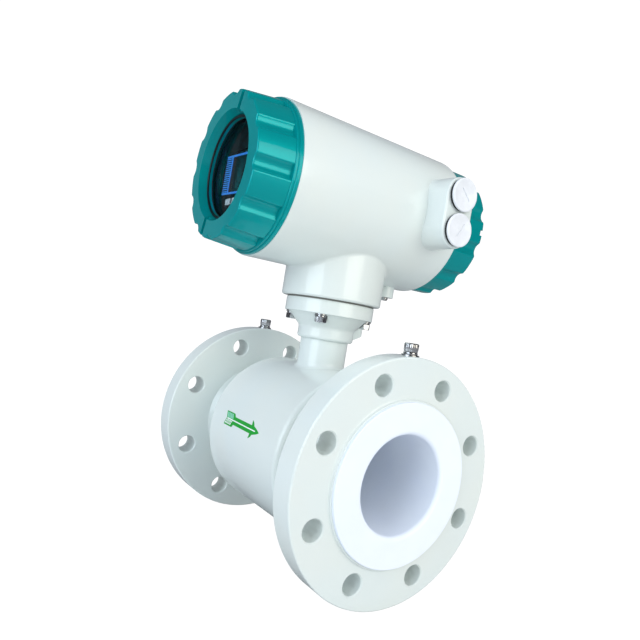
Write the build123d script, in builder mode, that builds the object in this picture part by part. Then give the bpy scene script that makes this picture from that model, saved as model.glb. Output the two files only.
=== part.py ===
from build123d import *
import os

os.makedirs("parts", exist_ok=True)

# An electromagnetic flow meter, in millimetres. The pipe runs along X with the flow towards +X, the
# head's axis is parallel to Y with the display towards -Y, and Z is up. The origin is the middle of
# the pipe section on the pipe's axis.

# Fits and clearances
seat_fit = 0.05
running_fit = 0.3

# Pipe section and flanges
lay_length = 300.0
tube_outside_d = 114.3
tube_wall = 6.0
liner_wall = 7.1
liner_mouth_round = 4.0
flare_thickness = 3.0
flare_edge_round = 0.8
flare_margin = 1.5
flange_thickness = 25.0
flange_edge = 20.0
flange_rim_round = 1.5
bolt_ring_reach = 32.85
bolt_count = 8
bolt_hole_d = 19.0
bolt_hole_chamfer = 1.0
raised_face_height = 2.0
raised_face_foot = 1.8
raised_face_margin = 7.0
weld_leg = 5.0

# Earth screws on the flange rims and under the head
earth_thread_d = 8.0
earth_head_d = 13.0
earth_head_height = 8.0
earth_socket = 6.0
earth_socket_depth = 4.0
earth_reach = 12.0
earth_spot_depth = 0.4
earth_spot_d = 18.0
earth_flat_washer_d = 16.0
earth_flat_washer_thickness = 1.6
earth_spring_washer_d = 12.8
earth_spring_washer_thickness = 2.0

# Coil housing, a drum with the neck pipe in one casting
drum_length = 146.0
drum_wall = 3.0
drum_end_wall = 4.0
drum_corner_round = 6.0
coil_space = 21.85
neck_pipe_d = 50.0
neck_pipe_wall = 3.5
neck_pipe_root_round = 5.0
neck_reach = 27.7

# Magnet, coils and electrodes inside the drum
shoe_thickness = 2.05
shoe_length = 76.0
shoe_width = 80.0
coil_length = 80.0
coil_width = 88.0
coil_window_length = 32.0
coil_window_width = 48.0
coil_corner_round = 12.0
coil_top_gap = 5.5
pole_length = 24.0
pole_width = 40.0
yoke_thickness = 2.8
yoke_width = 26.0
magnet_gap = 0.2
electrode_d = 6.0
electrode_head_d = 13.0
electrode_head_height = 3.0
electrode_stub = 2.0
insulator_wall = 2.0
insulator_rim_d = 18.0
insulator_rim_height = 2.0
bush_d = 22.0
bush_height = 4.85
electrode_nut_flats = 10.0
electrode_nut_height = 5.0

# Neck flange between the neck pipe and the head
collar_wall = 4.4
collar_height = 12.6
collar_foot_round = 3.0
cone_height = 13.2
cone_root_round = 5.0
ring_height = 14.1
ring_overhang = 3.7
ring_edge_chamfer = 0.6
neck_pipe_depth = 8.3
neck_bore_d = 40.0
feedthrough_ledge = 1.5
feedthrough_thickness = 9.0
feedthrough_recess = 0.6
feedthrough_pin_d = 2.0
feedthrough_pin_reach = 6.0
feedthrough_pin_circle = 22.0
feedthrough_pin_count = 8
neck_screw_circle = 79.0
neck_screw_count = 4
neck_screw_d = 6.0
neck_screw_flats = 10.0
neck_screw_head_height = 5.5
neck_screw_reach = 12.0
neck_screw_hole_d = 6.6
neck_screw_pocket_d = 13.0
neck_flat_washer_d = 12.0
neck_flat_washer_thickness = 1.6
neck_spring_washer_d = 10.2
neck_spring_washer_thickness = 1.6
neck_gasket_thickness = 1.5
neck_gasket_inset = 0.5
rib_y = 39.4
rib_width = 14.0
rib_slope_rise = 8.0
rib_foot_height = 3.0

# Converter housing
head_over_block = 103.2
block_d = 104.8
block_edge_round = 2.5
block_floor = 16.9
block_cup_d = 62.0
block_root_round = 4.0
front_body_end = 103.1
rear_body_end = 96.8
body_wall = 5.5
land_depth = 16.0
land_step = 1.3
partition_y = 32.0
partition_thickness = 4.0
wire_hole_d = 20.0
wire_hole_margin = 19.0
pillar_boss_d = 10.0
pillar_boss_height = 6.0
cable_block_y = 64.5
cable_block_width = 37.0
cable_block_height = 70.0
cable_block_x = 100.0
cable_block_draft = 2.5
cable_block_edge_round = 2.0
cable_pitch = 34.8
earth_boss_y = 72.0
earth_boss_d = 19.0
earth_boss_reach = 11.5
boss_screw_d = 4.0
boss_screw_head_d = 8.0
boss_screw_head_height = 3.5
boss_screw_reach = 7.0
boss_screw_slot = 1.0

# Screw-on covers with a lobed grip
skirt_d = 140.0
skirt_length = 14.0
cover_inset = 1.1
base_ring_foot = 3.5
base_ring_height = 6.0
base_ring_step = 1.3
base_ring_round = 0.8
crest_step = 2.7
lobe_count = 12
front_cover_turn = 70.0
rear_cover_turn = 2.4
flute_r = 9.0
flute_depth = 3.8
flute_edge_round = 2.5
grip_edge_round = 1.5
front_cover_depth = 41.0
front_grip_fall = 3.7
rear_cover_depth = 38.2
rear_grip_fall = 0.0
rear_cover_face = 6.0
rear_cover_dish = 1.5
cover_wall = 6.2
slot_width = 6.0
slot_depth = 4.0
window_rim = 20.5
window_taper = 3.0
window_recess = 9.0
window_lip_overlap = 4.2
window_lip_thickness = 2.5
glass_margin = 12.0
glass_thickness = 6.0
glass_chamfer = 0.5
window_gasket_thickness = 1.0
retainer_thickness = 4.0
retainer_grip = 2.0
retainer_overlap = 4.0
retainer_notch = 4.0
ring_section_d = 3.2
ring_groove_start = 1.2
ring_groove_width = 4.0
ring_groove_depth = 3.3

# Display, keys and circuit boards
bezel_gap = 4.0
bezel_set_back = 1.6
bezel_plate = 2.5
bezel_wall = 4.0
bezel_depth = 10.0
panel_margin = 13.0
panel_aspect = 2.14
panel_gap = 1.0
panel_set_back = 0.4
keys_per_panel = 6.43
key_spacing = 3.0
key_height = 6.0
key_below_panel = 6.0
key_proud = 1.0
key_travel = 0.8
key_flange = 1.0
key_flange_thickness = 1.0
key_stem_d = 4.0
key_corner_round = 1.0
switch_size = 6.0
switch_height = 3.4
plunger_d = 3.0
plunger_height = 0.6
board_thickness = 1.6
main_board_margin = 9.0
power_board_margin = 7.0
main_board_spacing = 50.0
power_board_spacing = 50.0
pillar_inset = 6.0
pillar_count = 4
pillar_flats = 6.0
pillar_thread_d = 3.0
pillar_stud = 5.0
pillar_hole_depth = 8.0
bezel_screw_head_d = 5.5
bezel_screw_head_height = 1.8
bezel_screw_reach = 5.0

# Terminals and cable entry plugs
terminal_count = 8
terminal_pitch = 10.0
terminal_end = 2.0
terminal_height = 24.0
terminal_depth = 18.0
terminal_rise = 8.0
terminal_wire_d = 4.0
terminal_head_d = 6.0
terminal_head_height = 2.0
terminal_screw_d = 4.0
terminal_screw_reach = 8.0
terminal_head_slot = 1.0
plug_head_d = 32.8
plug_head_height = 2.5
plug_head_round = 1.2
plug_thread_d = 20.0
plug_reach = 9.0
plug_slot_length = 16.0
plug_slot_width = 1.2
plug_slot_depth = 0.9
upper_slot_turn = -43.0
lower_slot_turn = 56.5
plug_seal_d = 31.0
plug_seal_thickness = 3.2

# Places along the pipe
face_x = lay_length / 2 - flare_thickness
flange_outer_x = face_x - raised_face_height
flange_inner_x = flange_outer_x - flange_thickness
flange_middle_x = flange_inner_x + flange_thickness / 2
drum_half = drum_length / 2

# Radii of the pipe section, from the bore outwards
tube_r = tube_outside_d / 2
tube_seat_r = tube_r + seat_fit
tube_inner_r = tube_r - tube_wall
liner_r = tube_inner_r - seat_fit
bore_r = liner_r - liner_wall
bolt_ring_r = tube_r + bolt_ring_reach
flange_r = bolt_ring_r + flange_edge
raised_face_r = bolt_ring_r - bolt_hole_d / 2 - raised_face_margin
flare_r = raised_face_r - flare_margin
drum_inner_r = tube_r + coil_space
drum_r = drum_inner_r + drum_wall

# Radii of the magnet and the electrodes
shoe_inner_r = tube_seat_r + seat_fit
shoe_outer_r = shoe_inner_r + shoe_thickness
yoke_outer_r = drum_inner_r - magnet_gap
yoke_inner_r = yoke_outer_r - yoke_thickness
coil_inner_r = shoe_outer_r + magnet_gap
coil_outer_r = yoke_inner_r - coil_top_gap
pole_top_r = yoke_inner_r - seat_fit
electrode_r = electrode_d / 2
insulator_r = electrode_r + seat_fit + insulator_wall
bush_hole_r = insulator_r + seat_fit
bush_top = tube_r + bush_height
insulator_top = bush_top + insulator_rim_height
electrode_nut_top = insulator_top + electrode_nut_height

# Heights of the neck stack over the pipe's axis
neck_pipe_r = neck_pipe_d / 2
neck_pipe_inner_r = neck_pipe_r - neck_pipe_wall
collar_bottom = drum_r + neck_reach
collar_top = collar_bottom + collar_height
neck_pipe_top = collar_bottom + neck_pipe_depth
ring_bottom = collar_top + cone_height
ring_top = ring_bottom + ring_height
block_bottom = ring_top + neck_gasket_thickness
head_height = block_bottom + head_over_block
neck_seat_r = neck_pipe_r + seat_fit
collar_r = neck_seat_r + collar_wall
cone_r = collar_r + cone_height
ring_r = cone_r + ring_overhang
neck_bore_r = neck_bore_d / 2
feedthrough_top = ring_top - feedthrough_recess
feedthrough_bottom = feedthrough_top - feedthrough_thickness
neck_screw_top = block_bottom + neck_screw_reach
neck_spring_seat = ring_bottom - neck_flat_washer_thickness
neck_head_seat = neck_spring_seat - neck_spring_washer_thickness

# Places in the head, where side -1 is the front and side 1 the rear
body_ends = {-1: front_body_end, 1: rear_body_end}
skirt_r = skirt_d / 2
land_r = skirt_r + running_fit
cavity_r = land_r - land_step
body_r = land_r + body_wall
block_r = block_d / 2
partition_back = partition_y + partition_thickness
wire_hole_drop = cavity_r - wire_hole_margin
earth_boss_bottom = head_height - body_r - earth_boss_reach
cable_bore_r = plug_thread_d / 2 + running_fit

# Radii and depths of the covers, measured outwards from the end of the body
base_ring_r = body_r - cover_inset
upper_ring_r = base_ring_r - base_ring_step
crest_r = base_ring_r - crest_step
cover_bore_r = crest_r - flute_depth - cover_wall
groove_r = skirt_r - ring_groove_depth
ring_major_r = groove_r + seat_fit + ring_section_d / 2
ring_centre = ring_groove_start + ring_groove_width / 2
window_r = crest_r - window_rim
lip_outer = front_cover_depth - window_recess
lip_inner = lip_outer - window_lip_thickness
glass_outer = lip_inner - window_gasket_thickness
glass_inner = glass_outer - glass_thickness
retainer_inner = glass_inner - retainer_thickness
glass_r = cover_bore_r - glass_margin
lip_r = glass_r - window_lip_overlap
glass_pocket_r = glass_r + running_fit
retainer_r = glass_pocket_r + retainer_grip
retainer_pocket_r = retainer_r + seat_fit
retainer_inner_r = glass_r - retainer_overlap

# Places of the electronics, measured from the head's middle towards the display
bezel_front = front_body_end + retainer_inner - bezel_set_back
bezel_r = cover_bore_r - bezel_gap
pillar_ring_r = bezel_r - pillar_inset
panel_width = 2 * (bezel_r - panel_margin)
panel_height = panel_width / panel_aspect
key_pitch = panel_width / keys_per_panel
key_width = key_pitch - key_spacing
key_drop = panel_height / 2 + key_below_panel
display_board_front = bezel_front - bezel_depth
display_board_back = display_board_front - board_thickness
main_board_front = display_board_back - main_board_spacing
main_board_back = main_board_front - board_thickness
power_board_front = main_board_back - power_board_spacing
power_board_back = power_board_front - board_thickness
pillar_boss_front = pillar_boss_height - partition_y
thread_hole_r = pillar_thread_d / 2 + seat_fit
key_places = [(i - 1.5) * key_pitch for i in range(4)]
switch_top = display_board_front + switch_height + plunger_height

# Planes and axes that the pieces are drawn on
pipe_section = Plane.XZ
neck_section = Plane.XZ
head_axis = Axis((0, 0, head_height), (0, 1, 0))
head_front = Plane(origin=(0, 0, head_height), x_dir=(1, 0, 0), z_dir=(0, -1, 0))
head_rear = Plane(origin=(0, 0, head_height), x_dir=(1, 0, 0), z_dir=(0, 1, 0))


def cover_plane(side):
    """The end face of the body, which looks towards -Y at the front (side -1) and +Y at the rear."""
    end = (0, side * body_ends[side], head_height)
    return Plane(origin=end, x_dir=(-side, 0, 0), z_dir=(0, side, 0))


def cover_section(side):
    """The half section of a cover: x is the radius, y the distance outwards from the body's end."""
    end = (0, side * body_ends[side], head_height)
    return Plane(origin=end, x_dir=(1, 0, 0), z_dir=(0, 0, side))


def sleeve(base, outer_r, inner_r, length):
    """A plain sleeve or washer that stands on a plane."""
    with BuildPart() as piece:
        with BuildSketch(base):
            Circle(outer_r)
            Circle(inner_r, mode=Mode.SUBTRACT)
        extrude(amount=length)
    return piece.part


def write(piece, name):
    """Labels a finished piece and writes it under its own name."""
    piece.label = name
    export_step(piece, f"parts/{name}.step")


# Measuring tube, with a hole at each side for an electrode bush
with BuildPart() as measuring_tube:
    with BuildSketch(Plane.YZ):
        Circle(tube_r)
        Circle(tube_inner_r, mode=Mode.SUBTRACT)
    extrude(amount=face_x, both=True)
    with BuildSketch(Plane.XZ):
        Circle(bush_hole_r)
    extrude(amount=tube_r + 1, both=True, mode=Mode.SUBTRACT)
write(measuring_tube.part, "measuring_tube")


def pipe_flange(side):
    """A flange with its weld, raised face, bolt holes and the earth screw's hole in the rim."""
    section = Plane(origin=(0, 0, 0), x_dir=(side, 0, 0), z_dir=(0, -side, 0))
    inner_face = Plane(origin=(side * flange_inner_x, 0, 0), x_dir=(0, 1, 0), z_dir=(side, 0, 0))
    rim_top = Plane(origin=(side * flange_middle_x, 0, flange_r - earth_spot_depth))
    rim = flange_r - flange_rim_round
    foot_r = raised_face_r + raised_face_foot
    with BuildPart() as flange:
        with BuildSketch(section):
            with BuildLine():
                Line((flange_inner_x - weld_leg, tube_seat_r), (flange_inner_x, tube_seat_r + weld_leg))
                Line((flange_inner_x, tube_seat_r + weld_leg), (flange_inner_x, rim))
                TangentArc(
                    (flange_inner_x, rim), (flange_inner_x + flange_rim_round, flange_r), tangent=(0, 1)
                )
                Line(
                    (flange_inner_x + flange_rim_round, flange_r),
                    (flange_outer_x - flange_rim_round, flange_r),
                )
                TangentArc(
                    (flange_outer_x - flange_rim_round, flange_r), (flange_outer_x, rim), tangent=(1, 0)
                )
                Line((flange_outer_x, rim), (flange_outer_x, foot_r))
                TangentArc(
                    (flange_outer_x, foot_r),
                    (flange_outer_x + raised_face_foot, raised_face_r),
                    tangent=(0, -1),
                )
                Polyline(
                    (flange_outer_x + raised_face_foot, raised_face_r),
                    (face_x, raised_face_r),
                    (face_x, tube_seat_r),
                    (flange_inner_x - weld_leg, tube_seat_r),
                )
            make_face()
        revolve(axis=Axis.X)
        with BuildSketch(inner_face):
            with PolarLocations(bolt_ring_r, bolt_count, start_angle=180 / bolt_count):
                Circle(bolt_hole_d / 2)
        extrude(amount=flange_thickness, mode=Mode.SUBTRACT)
        hole_edges = flange.edges().filter_by(GeomType.CIRCLE)
        hole_edges = hole_edges.filter_by(lambda edge: abs(edge.radius - bolt_hole_d / 2) < 0.01)
        chamfer(hole_edges, bolt_hole_chamfer)
        with BuildSketch(rim_top):
            Circle(earth_spot_d / 2)
        extrude(amount=earth_spot_depth + 1, mode=Mode.SUBTRACT)
        with BuildSketch(rim_top):
            Circle(earth_thread_d / 2 + seat_fit)
        extrude(amount=-earth_reach - 1, mode=Mode.SUBTRACT)
    return flange.part


write(pipe_flange(-1), "inlet_flange")
write(pipe_flange(1), "outlet_flange")

# Liner, turned out over both raised faces, with a pocket for each electrode head
with BuildPart() as liner:
    with BuildSketch(pipe_section):
        with BuildLine():
            mouth = TangentArc(
                (face_x + flare_thickness, bore_r + liner_mouth_round),
                (face_x + flare_thickness - liner_mouth_round, bore_r),
                tangent=(0, -1),
            )
            bore = Line(mouth @ 1, (0, bore_r))
            Polyline((0, bore_r), (0, liner_r), (face_x, liner_r), (face_x, flare_r))
            edge_start = (face_x + flare_thickness - flare_edge_round, flare_r)
            Line((face_x, flare_r), edge_start)
            edge_end = (face_x + flare_thickness, flare_r - flare_edge_round)
            TangentArc(edge_start, edge_end, tangent=(1, 0))
            Line(edge_end, mouth @ 0)
        make_face()
    revolve(axis=Axis.X)
    mirror(about=Plane.YZ)
    with BuildSketch(Plane.XZ):
        Circle(electrode_r + seat_fit)
    extrude(amount=liner_r + 1, both=True, mode=Mode.SUBTRACT)
    with BuildSketch(Plane.XZ):
        Circle(electrode_head_d / 2 + seat_fit)
    extrude(amount=bore_r + electrode_head_height, both=True, mode=Mode.SUBTRACT)
write(liner.part, "liner")


def side_plane(side, distance):
    """A plane across the electrode axis that looks outwards, at a distance from the pipe's axis."""
    return Plane(origin=(0, side * distance, 0), x_dir=(1, 0, 0), z_dir=(0, side, 0))


# Electrodes, with the head in the bore wall and the shank out through the tube
with BuildPart() as electrodes:
    for side in (-1, 1):
        with BuildSketch(side_plane(side, bore_r)):
            Circle(electrode_head_d / 2)
        extrude(amount=electrode_head_height)
        with BuildSketch(side_plane(side, bore_r)):
            Circle(electrode_r)
        extrude(amount=electrode_nut_top + electrode_stub - bore_r)
write(electrodes.part, "electrodes")

# Bushes, cut to sit on the tube
with BuildPart() as electrode_bushes:
    for side in (-1, 1):
        with BuildSketch(side_plane(side, tube_inner_r)):
            Circle(bush_d / 2)
            Circle(bush_hole_r, mode=Mode.SUBTRACT)
        extrude(amount=bush_top - tube_inner_r)
    with BuildSketch(Plane.YZ):
        Circle(tube_seat_r)
    extrude(amount=bush_d, both=True, mode=Mode.SUBTRACT)
write(electrode_bushes.part, "electrode_bushes")

with BuildPart() as electrode_insulators:
    for side in (-1, 1):
        with BuildSketch(side_plane(side, tube_inner_r)):
            Circle(insulator_r)
            Circle(electrode_r + seat_fit, mode=Mode.SUBTRACT)
        extrude(amount=bush_top - tube_inner_r)
        with BuildSketch(side_plane(side, bush_top)):
            Circle(insulator_rim_d / 2)
            Circle(electrode_r + seat_fit, mode=Mode.SUBTRACT)
        extrude(amount=insulator_rim_height)
write(electrode_insulators.part, "electrode_insulators")

with BuildPart() as electrode_nuts:
    for side in (-1, 1):
        with BuildSketch(side_plane(side, insulator_top)):
            RegularPolygon(electrode_nut_flats / 2, 6, major_radius=False)
            Circle(electrode_r + seat_fit, mode=Mode.SUBTRACT)
        extrude(amount=electrode_nut_height)
write(electrode_nuts.part, "electrode_nuts")


def shell_round_pipe(inner_r, outer_r, reach):
    """A long sleeve round the pipe, used to give the magnet's pieces their curve."""
    with BuildPart() as shell:
        with BuildSketch(Plane.YZ):
            Circle(outer_r)
            Circle(inner_r, mode=Mode.SUBTRACT)
        extrude(amount=reach, both=True)
    return shell.part


def saddle_coil(side):
    """A coil wound as a rounded frame and bent round the tube."""
    with BuildPart() as coil:
        with BuildSketch(Plane.XY):
            RectangleRounded(coil_length, coil_width, coil_corner_round)
            Rectangle(coil_window_length, coil_window_width, mode=Mode.SUBTRACT)
        extrude(amount=side * coil_outer_r)
        add(shell_round_pipe(coil_inner_r, coil_outer_r, coil_length), mode=Mode.INTERSECT)
    return coil.part


def curved_block(side, length, width, outer_r):
    """A block above or below the tube, curved to fit it and curved alike on its far face."""
    with BuildPart() as block:
        with BuildSketch(Plane.XY):
            Rectangle(length, width)
        extrude(amount=side * outer_r)
        add(shell_round_pipe(shoe_inner_r, outer_r, length), mode=Mode.INTERSECT)
    return block.part


def pole_piece(side):
    """A curved shoe on the tube with the core that fills the coil's window."""
    with BuildPart() as pole:
        add(curved_block(side, shoe_length, shoe_width, shoe_outer_r))
        add(curved_block(side, pole_length, pole_width, pole_top_r))
    return pole.part


write(saddle_coil(1), "upper_coil")
write(saddle_coil(-1), "lower_coil")
write(pole_piece(1), "upper_pole")
write(pole_piece(-1), "lower_pole")

yoke_base = Plane.YZ.offset(-yoke_width / 2)
write(sleeve(yoke_base, yoke_outer_r, yoke_inner_r, yoke_width), "magnet_yoke")

# Coil housing: a hollow drum closed onto the tube, with the neck pipe on top
with BuildPart() as coil_housing:
    with BuildSketch(Plane.YZ):
        Circle(drum_r)
    extrude(amount=drum_half, both=True)
    fillet(coil_housing.edges().filter_by(GeomType.CIRCLE), drum_corner_round)
    with BuildSketch(Plane.XY):
        Circle(neck_pipe_r)
    extrude(amount=neck_pipe_top)
    neck_root = coil_housing.edges().filter_by(GeomType.BSPLINE)
    fillet(neck_root, neck_pipe_root_round)
    with BuildSketch(Plane.YZ):
        Circle(drum_inner_r)
    extrude(amount=drum_half - drum_end_wall, both=True, mode=Mode.SUBTRACT)
    with BuildSketch(Plane.YZ):
        Circle(tube_seat_r)
    extrude(amount=drum_half, both=True, mode=Mode.SUBTRACT)
    with BuildSketch(Plane.XY):
        Circle(neck_pipe_inner_r)
    extrude(amount=neck_pipe_top, mode=Mode.SUBTRACT)
write(coil_housing.part, "coil_housing")

# Neck flange: collar over the neck pipe, cone, bolting ring and a rib at the rear
rib_foot = collar_bottom + rib_foot_height
rib_end = rib_y + rib_width / 2
with BuildPart() as neck_flange:
    with BuildSketch(neck_section) as neck_profile:
        with BuildLine():
            Polyline(
                (0, collar_bottom),
                (collar_r, collar_bottom),
                (collar_r, collar_top),
                (cone_r, ring_bottom),
                (ring_r, ring_bottom),
                (ring_r, ring_top),
                (0, ring_top),
                close=True,
            )
        make_face()
        foot_corner = neck_profile.vertices().sort_by_distance((collar_r, collar_bottom, 0))[0]
        fillet(foot_corner, collar_foot_round)
        cone_corner = neck_profile.vertices().sort_by_distance((collar_r, collar_top, 0))[0]
        fillet(cone_corner, cone_root_round)
        for edge_height in (ring_bottom, ring_top):
            ring_corner = neck_profile.vertices().sort_by_distance((ring_r, edge_height, 0))[0]
            chamfer(ring_corner, ring_edge_chamfer)
    revolve(axis=Axis.Z)
    with BuildSketch(Plane.XY.offset(rib_foot)):
        with Locations((0, rib_y / 2)):
            Rectangle(rib_width, rib_y)
        with Locations((0, rib_y)):
            Circle(rib_width / 2)
    extrude(amount=ring_bottom - rib_foot)
    with BuildSketch(Plane.YZ):
        Polygon(
            (collar_r, rib_foot),
            (rib_end + 1, rib_foot),
            (rib_end + 1, rib_foot + rib_slope_rise),
            align=None,
        )
    extrude(amount=rib_width, both=True, mode=Mode.SUBTRACT)
    with BuildSketch(Plane.XY.offset(ring_bottom)):
        with PolarLocations(neck_screw_circle / 2, neck_screw_count, start_angle=45):
            Circle(neck_screw_pocket_d / 2)
    extrude(amount=-cone_height, mode=Mode.SUBTRACT)
    with BuildSketch(Plane.XY.offset(ring_bottom)):
        with PolarLocations(neck_screw_circle / 2, neck_screw_count, start_angle=45):
            Circle(neck_screw_hole_d / 2)
    extrude(amount=ring_height, mode=Mode.SUBTRACT)
    with BuildSketch(Plane.XY.offset(collar_bottom)):
        Circle(neck_seat_r)
    extrude(amount=neck_pipe_depth, mode=Mode.SUBTRACT)
    with BuildSketch(Plane.XY.offset(neck_pipe_top)):
        Circle(neck_bore_r - feedthrough_ledge)
    extrude(amount=feedthrough_bottom - neck_pipe_top, mode=Mode.SUBTRACT)
    with BuildSketch(Plane.XY.offset(feedthrough_bottom)):
        Circle(neck_bore_r)
    extrude(amount=ring_top - feedthrough_bottom, mode=Mode.SUBTRACT)
write(neck_flange.part, "neck_flange")

with BuildPart() as neck_gasket:
    with BuildSketch(Plane.XY.offset(ring_top)):
        Circle(ring_r - neck_gasket_inset)
        Circle(neck_bore_r, mode=Mode.SUBTRACT)
        with PolarLocations(neck_screw_circle / 2, neck_screw_count, start_angle=45):
            Circle(neck_screw_hole_d / 2, mode=Mode.SUBTRACT)
    extrude(amount=neck_gasket_thickness)
write(neck_gasket.part, "neck_gasket")

# Neck screws from below, each with a flat and a spring washer
with BuildPart() as neck_screws:
    with BuildSketch(Plane.XY.offset(neck_head_seat)):
        with PolarLocations(neck_screw_circle / 2, neck_screw_count, start_angle=45):
            RegularPolygon(neck_screw_flats / 2, 6, major_radius=False)
    extrude(amount=-neck_screw_head_height)
    with BuildSketch(Plane.XY.offset(neck_head_seat)):
        with PolarLocations(neck_screw_circle / 2, neck_screw_count, start_angle=45):
            Circle(neck_screw_d / 2)
    extrude(amount=neck_screw_top - neck_head_seat)
write(neck_screws.part, "neck_screws")


def neck_washers(seat, outer_d, thickness):
    """A washer under each neck screw, hanging from a height."""
    with BuildPart() as washers:
        with BuildSketch(Plane.XY.offset(seat)):
            with PolarLocations(neck_screw_circle / 2, neck_screw_count, start_angle=45):
                Circle(outer_d / 2)
                Circle(neck_screw_d / 2 + seat_fit, mode=Mode.SUBTRACT)
        extrude(amount=-thickness)
    return washers.part


write(neck_washers(ring_bottom, neck_flat_washer_d, neck_flat_washer_thickness), "neck_flat_washers")
write(
    neck_washers(neck_spring_seat, neck_spring_washer_d, neck_spring_washer_thickness),
    "neck_spring_washers",
)

# Feedthrough, a potted plug with the wires' pins
with BuildPart() as feedthrough:
    with BuildSketch(Plane.XY.offset(feedthrough_bottom)):
        Circle(neck_bore_r - seat_fit)
    extrude(amount=feedthrough_thickness)
    with BuildSketch(Plane.XY.offset(feedthrough_bottom - feedthrough_pin_reach)):
        with PolarLocations(feedthrough_pin_circle / 2, feedthrough_pin_count):
            Circle(feedthrough_pin_d / 2)
    extrude(amount=feedthrough_thickness + 2 * feedthrough_pin_reach)
write(feedthrough.part, "feedthrough")

# Converter housing: the round body, the neck block, the cable block and the earth boss in one casting
cable_face = Plane(origin=(cable_block_x, cable_block_y, head_height), x_dir=(0, 1, 0), z_dir=(-1, 0, 0))
with BuildPart() as converter_housing:
    with BuildSketch(cover_plane(-1)):
        Circle(body_r)
    extrude(amount=-front_body_end - rear_body_end)
    with BuildSketch(Plane.XY.offset(block_bottom)):
        Circle(block_r)
    extrude(amount=head_over_block)
    block_root = converter_housing.edges().filter_by(GeomType.BSPLINE)
    fillet(block_root, block_root_round)
    block_edge = converter_housing.edges().filter_by(GeomType.CIRCLE).sort_by(Axis.Z)[0]
    fillet(block_edge, block_edge_round)
    with BuildSketch(cable_face):
        SlotOverall(cable_block_height, cable_block_width, rotation=90)
    extrude(amount=cable_block_x - cavity_r / 2, taper=-cable_block_draft)
    cable_edge = converter_housing.faces().sort_by(Axis.X)[-1].edges()
    fillet(cable_edge, cable_block_edge_round)
    with BuildSketch(Plane.XY.offset(earth_boss_bottom)):
        with Locations((0, earth_boss_y)):
            Circle(earth_boss_d / 2)
    extrude(amount=head_height - earth_boss_bottom)
    for side, compartment_end in ((-1, partition_y), (1, -partition_back)):
        with BuildSketch(cover_plane(side)):
            Circle(land_r)
        extrude(amount=-land_depth, mode=Mode.SUBTRACT)
        with BuildSketch(cover_plane(side)):
            Circle(cavity_r)
        extrude(amount=-body_ends[side] - compartment_end, mode=Mode.SUBTRACT)
    with BuildSketch(head_front.offset(-partition_y)):
        with PolarLocations(pillar_ring_r, pillar_count, start_angle=45):
            Circle(pillar_boss_d / 2)
    extrude(amount=pillar_boss_height)
    with BuildSketch(head_front.offset(pillar_boss_front)):
        with PolarLocations(pillar_ring_r, pillar_count, start_angle=45):
            Circle(thread_hole_r)
    extrude(amount=-pillar_hole_depth, mode=Mode.SUBTRACT)
    with BuildSketch(head_rear.offset(partition_y)):
        with Locations((0, -wire_hole_drop)):
            Circle(wire_hole_d / 2)
    extrude(amount=partition_thickness, mode=Mode.SUBTRACT)
    with BuildSketch(Plane.XY.offset(block_bottom)):
        Circle(neck_bore_r)
    extrude(amount=block_floor, mode=Mode.SUBTRACT)
    with BuildSketch(Plane.XY.offset(block_bottom + block_floor)):
        Circle(block_cup_d / 2)
    extrude(amount=head_over_block - block_floor - cavity_r / 2, mode=Mode.SUBTRACT)
    with BuildSketch(Plane.XY.offset(block_bottom)):
        with PolarLocations(neck_screw_circle / 2, neck_screw_count, start_angle=45):
            Circle(neck_screw_d / 2 + seat_fit)
    extrude(amount=neck_screw_reach + 1, mode=Mode.SUBTRACT)
    with BuildSketch(cable_face):
        with Locations((0, cable_pitch / 2), (0, -cable_pitch / 2)):
            Circle(cable_bore_r)
    extrude(amount=cable_block_x - cavity_r + plug_thread_d / 2, mode=Mode.SUBTRACT)
    with BuildSketch(Plane.XY.offset(earth_boss_bottom)):
        with Locations((0, earth_boss_y)):
            Circle(boss_screw_d / 2 + seat_fit)
    extrude(amount=boss_screw_reach + 1, mode=Mode.SUBTRACT)
write(converter_housing.part, "converter_housing")

with BuildPart() as housing_earth_screw:
    with BuildSketch(Plane.XY.offset(earth_boss_bottom)):
        with Locations((0, earth_boss_y)):
            Circle(boss_screw_head_d / 2)
    extrude(amount=-boss_screw_head_height)
    head_rim = housing_earth_screw.edges().filter_by(GeomType.CIRCLE).sort_by(Axis.Z)[0]
    fillet(head_rim, boss_screw_head_height / 2)
    with BuildSketch(Plane.XY.offset(earth_boss_bottom - boss_screw_head_height)):
        with Locations((0, earth_boss_y)):
            Rectangle(boss_screw_head_d, boss_screw_slot)
    extrude(amount=boss_screw_head_height / 3, mode=Mode.SUBTRACT)
    with BuildSketch(Plane.XY.offset(earth_boss_bottom)):
        with Locations((0, earth_boss_y)):
            Circle(boss_screw_d / 2)
    extrude(amount=boss_screw_reach)
write(housing_earth_screw.part, "housing_earth_screw")


def grip_outline(base, outer_r, turn):
    """The lobed outline of a cover's grip on a plane."""
    with BuildSketch(base) as outline:
        Circle(outer_r)
        with PolarLocations(outer_r - flute_depth + flute_r, lobe_count, turn + 180 / lobe_count):
            Circle(flute_r, mode=Mode.SUBTRACT)
        fillet(outline.vertices(), flute_edge_round)
    return outline.sketch


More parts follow.
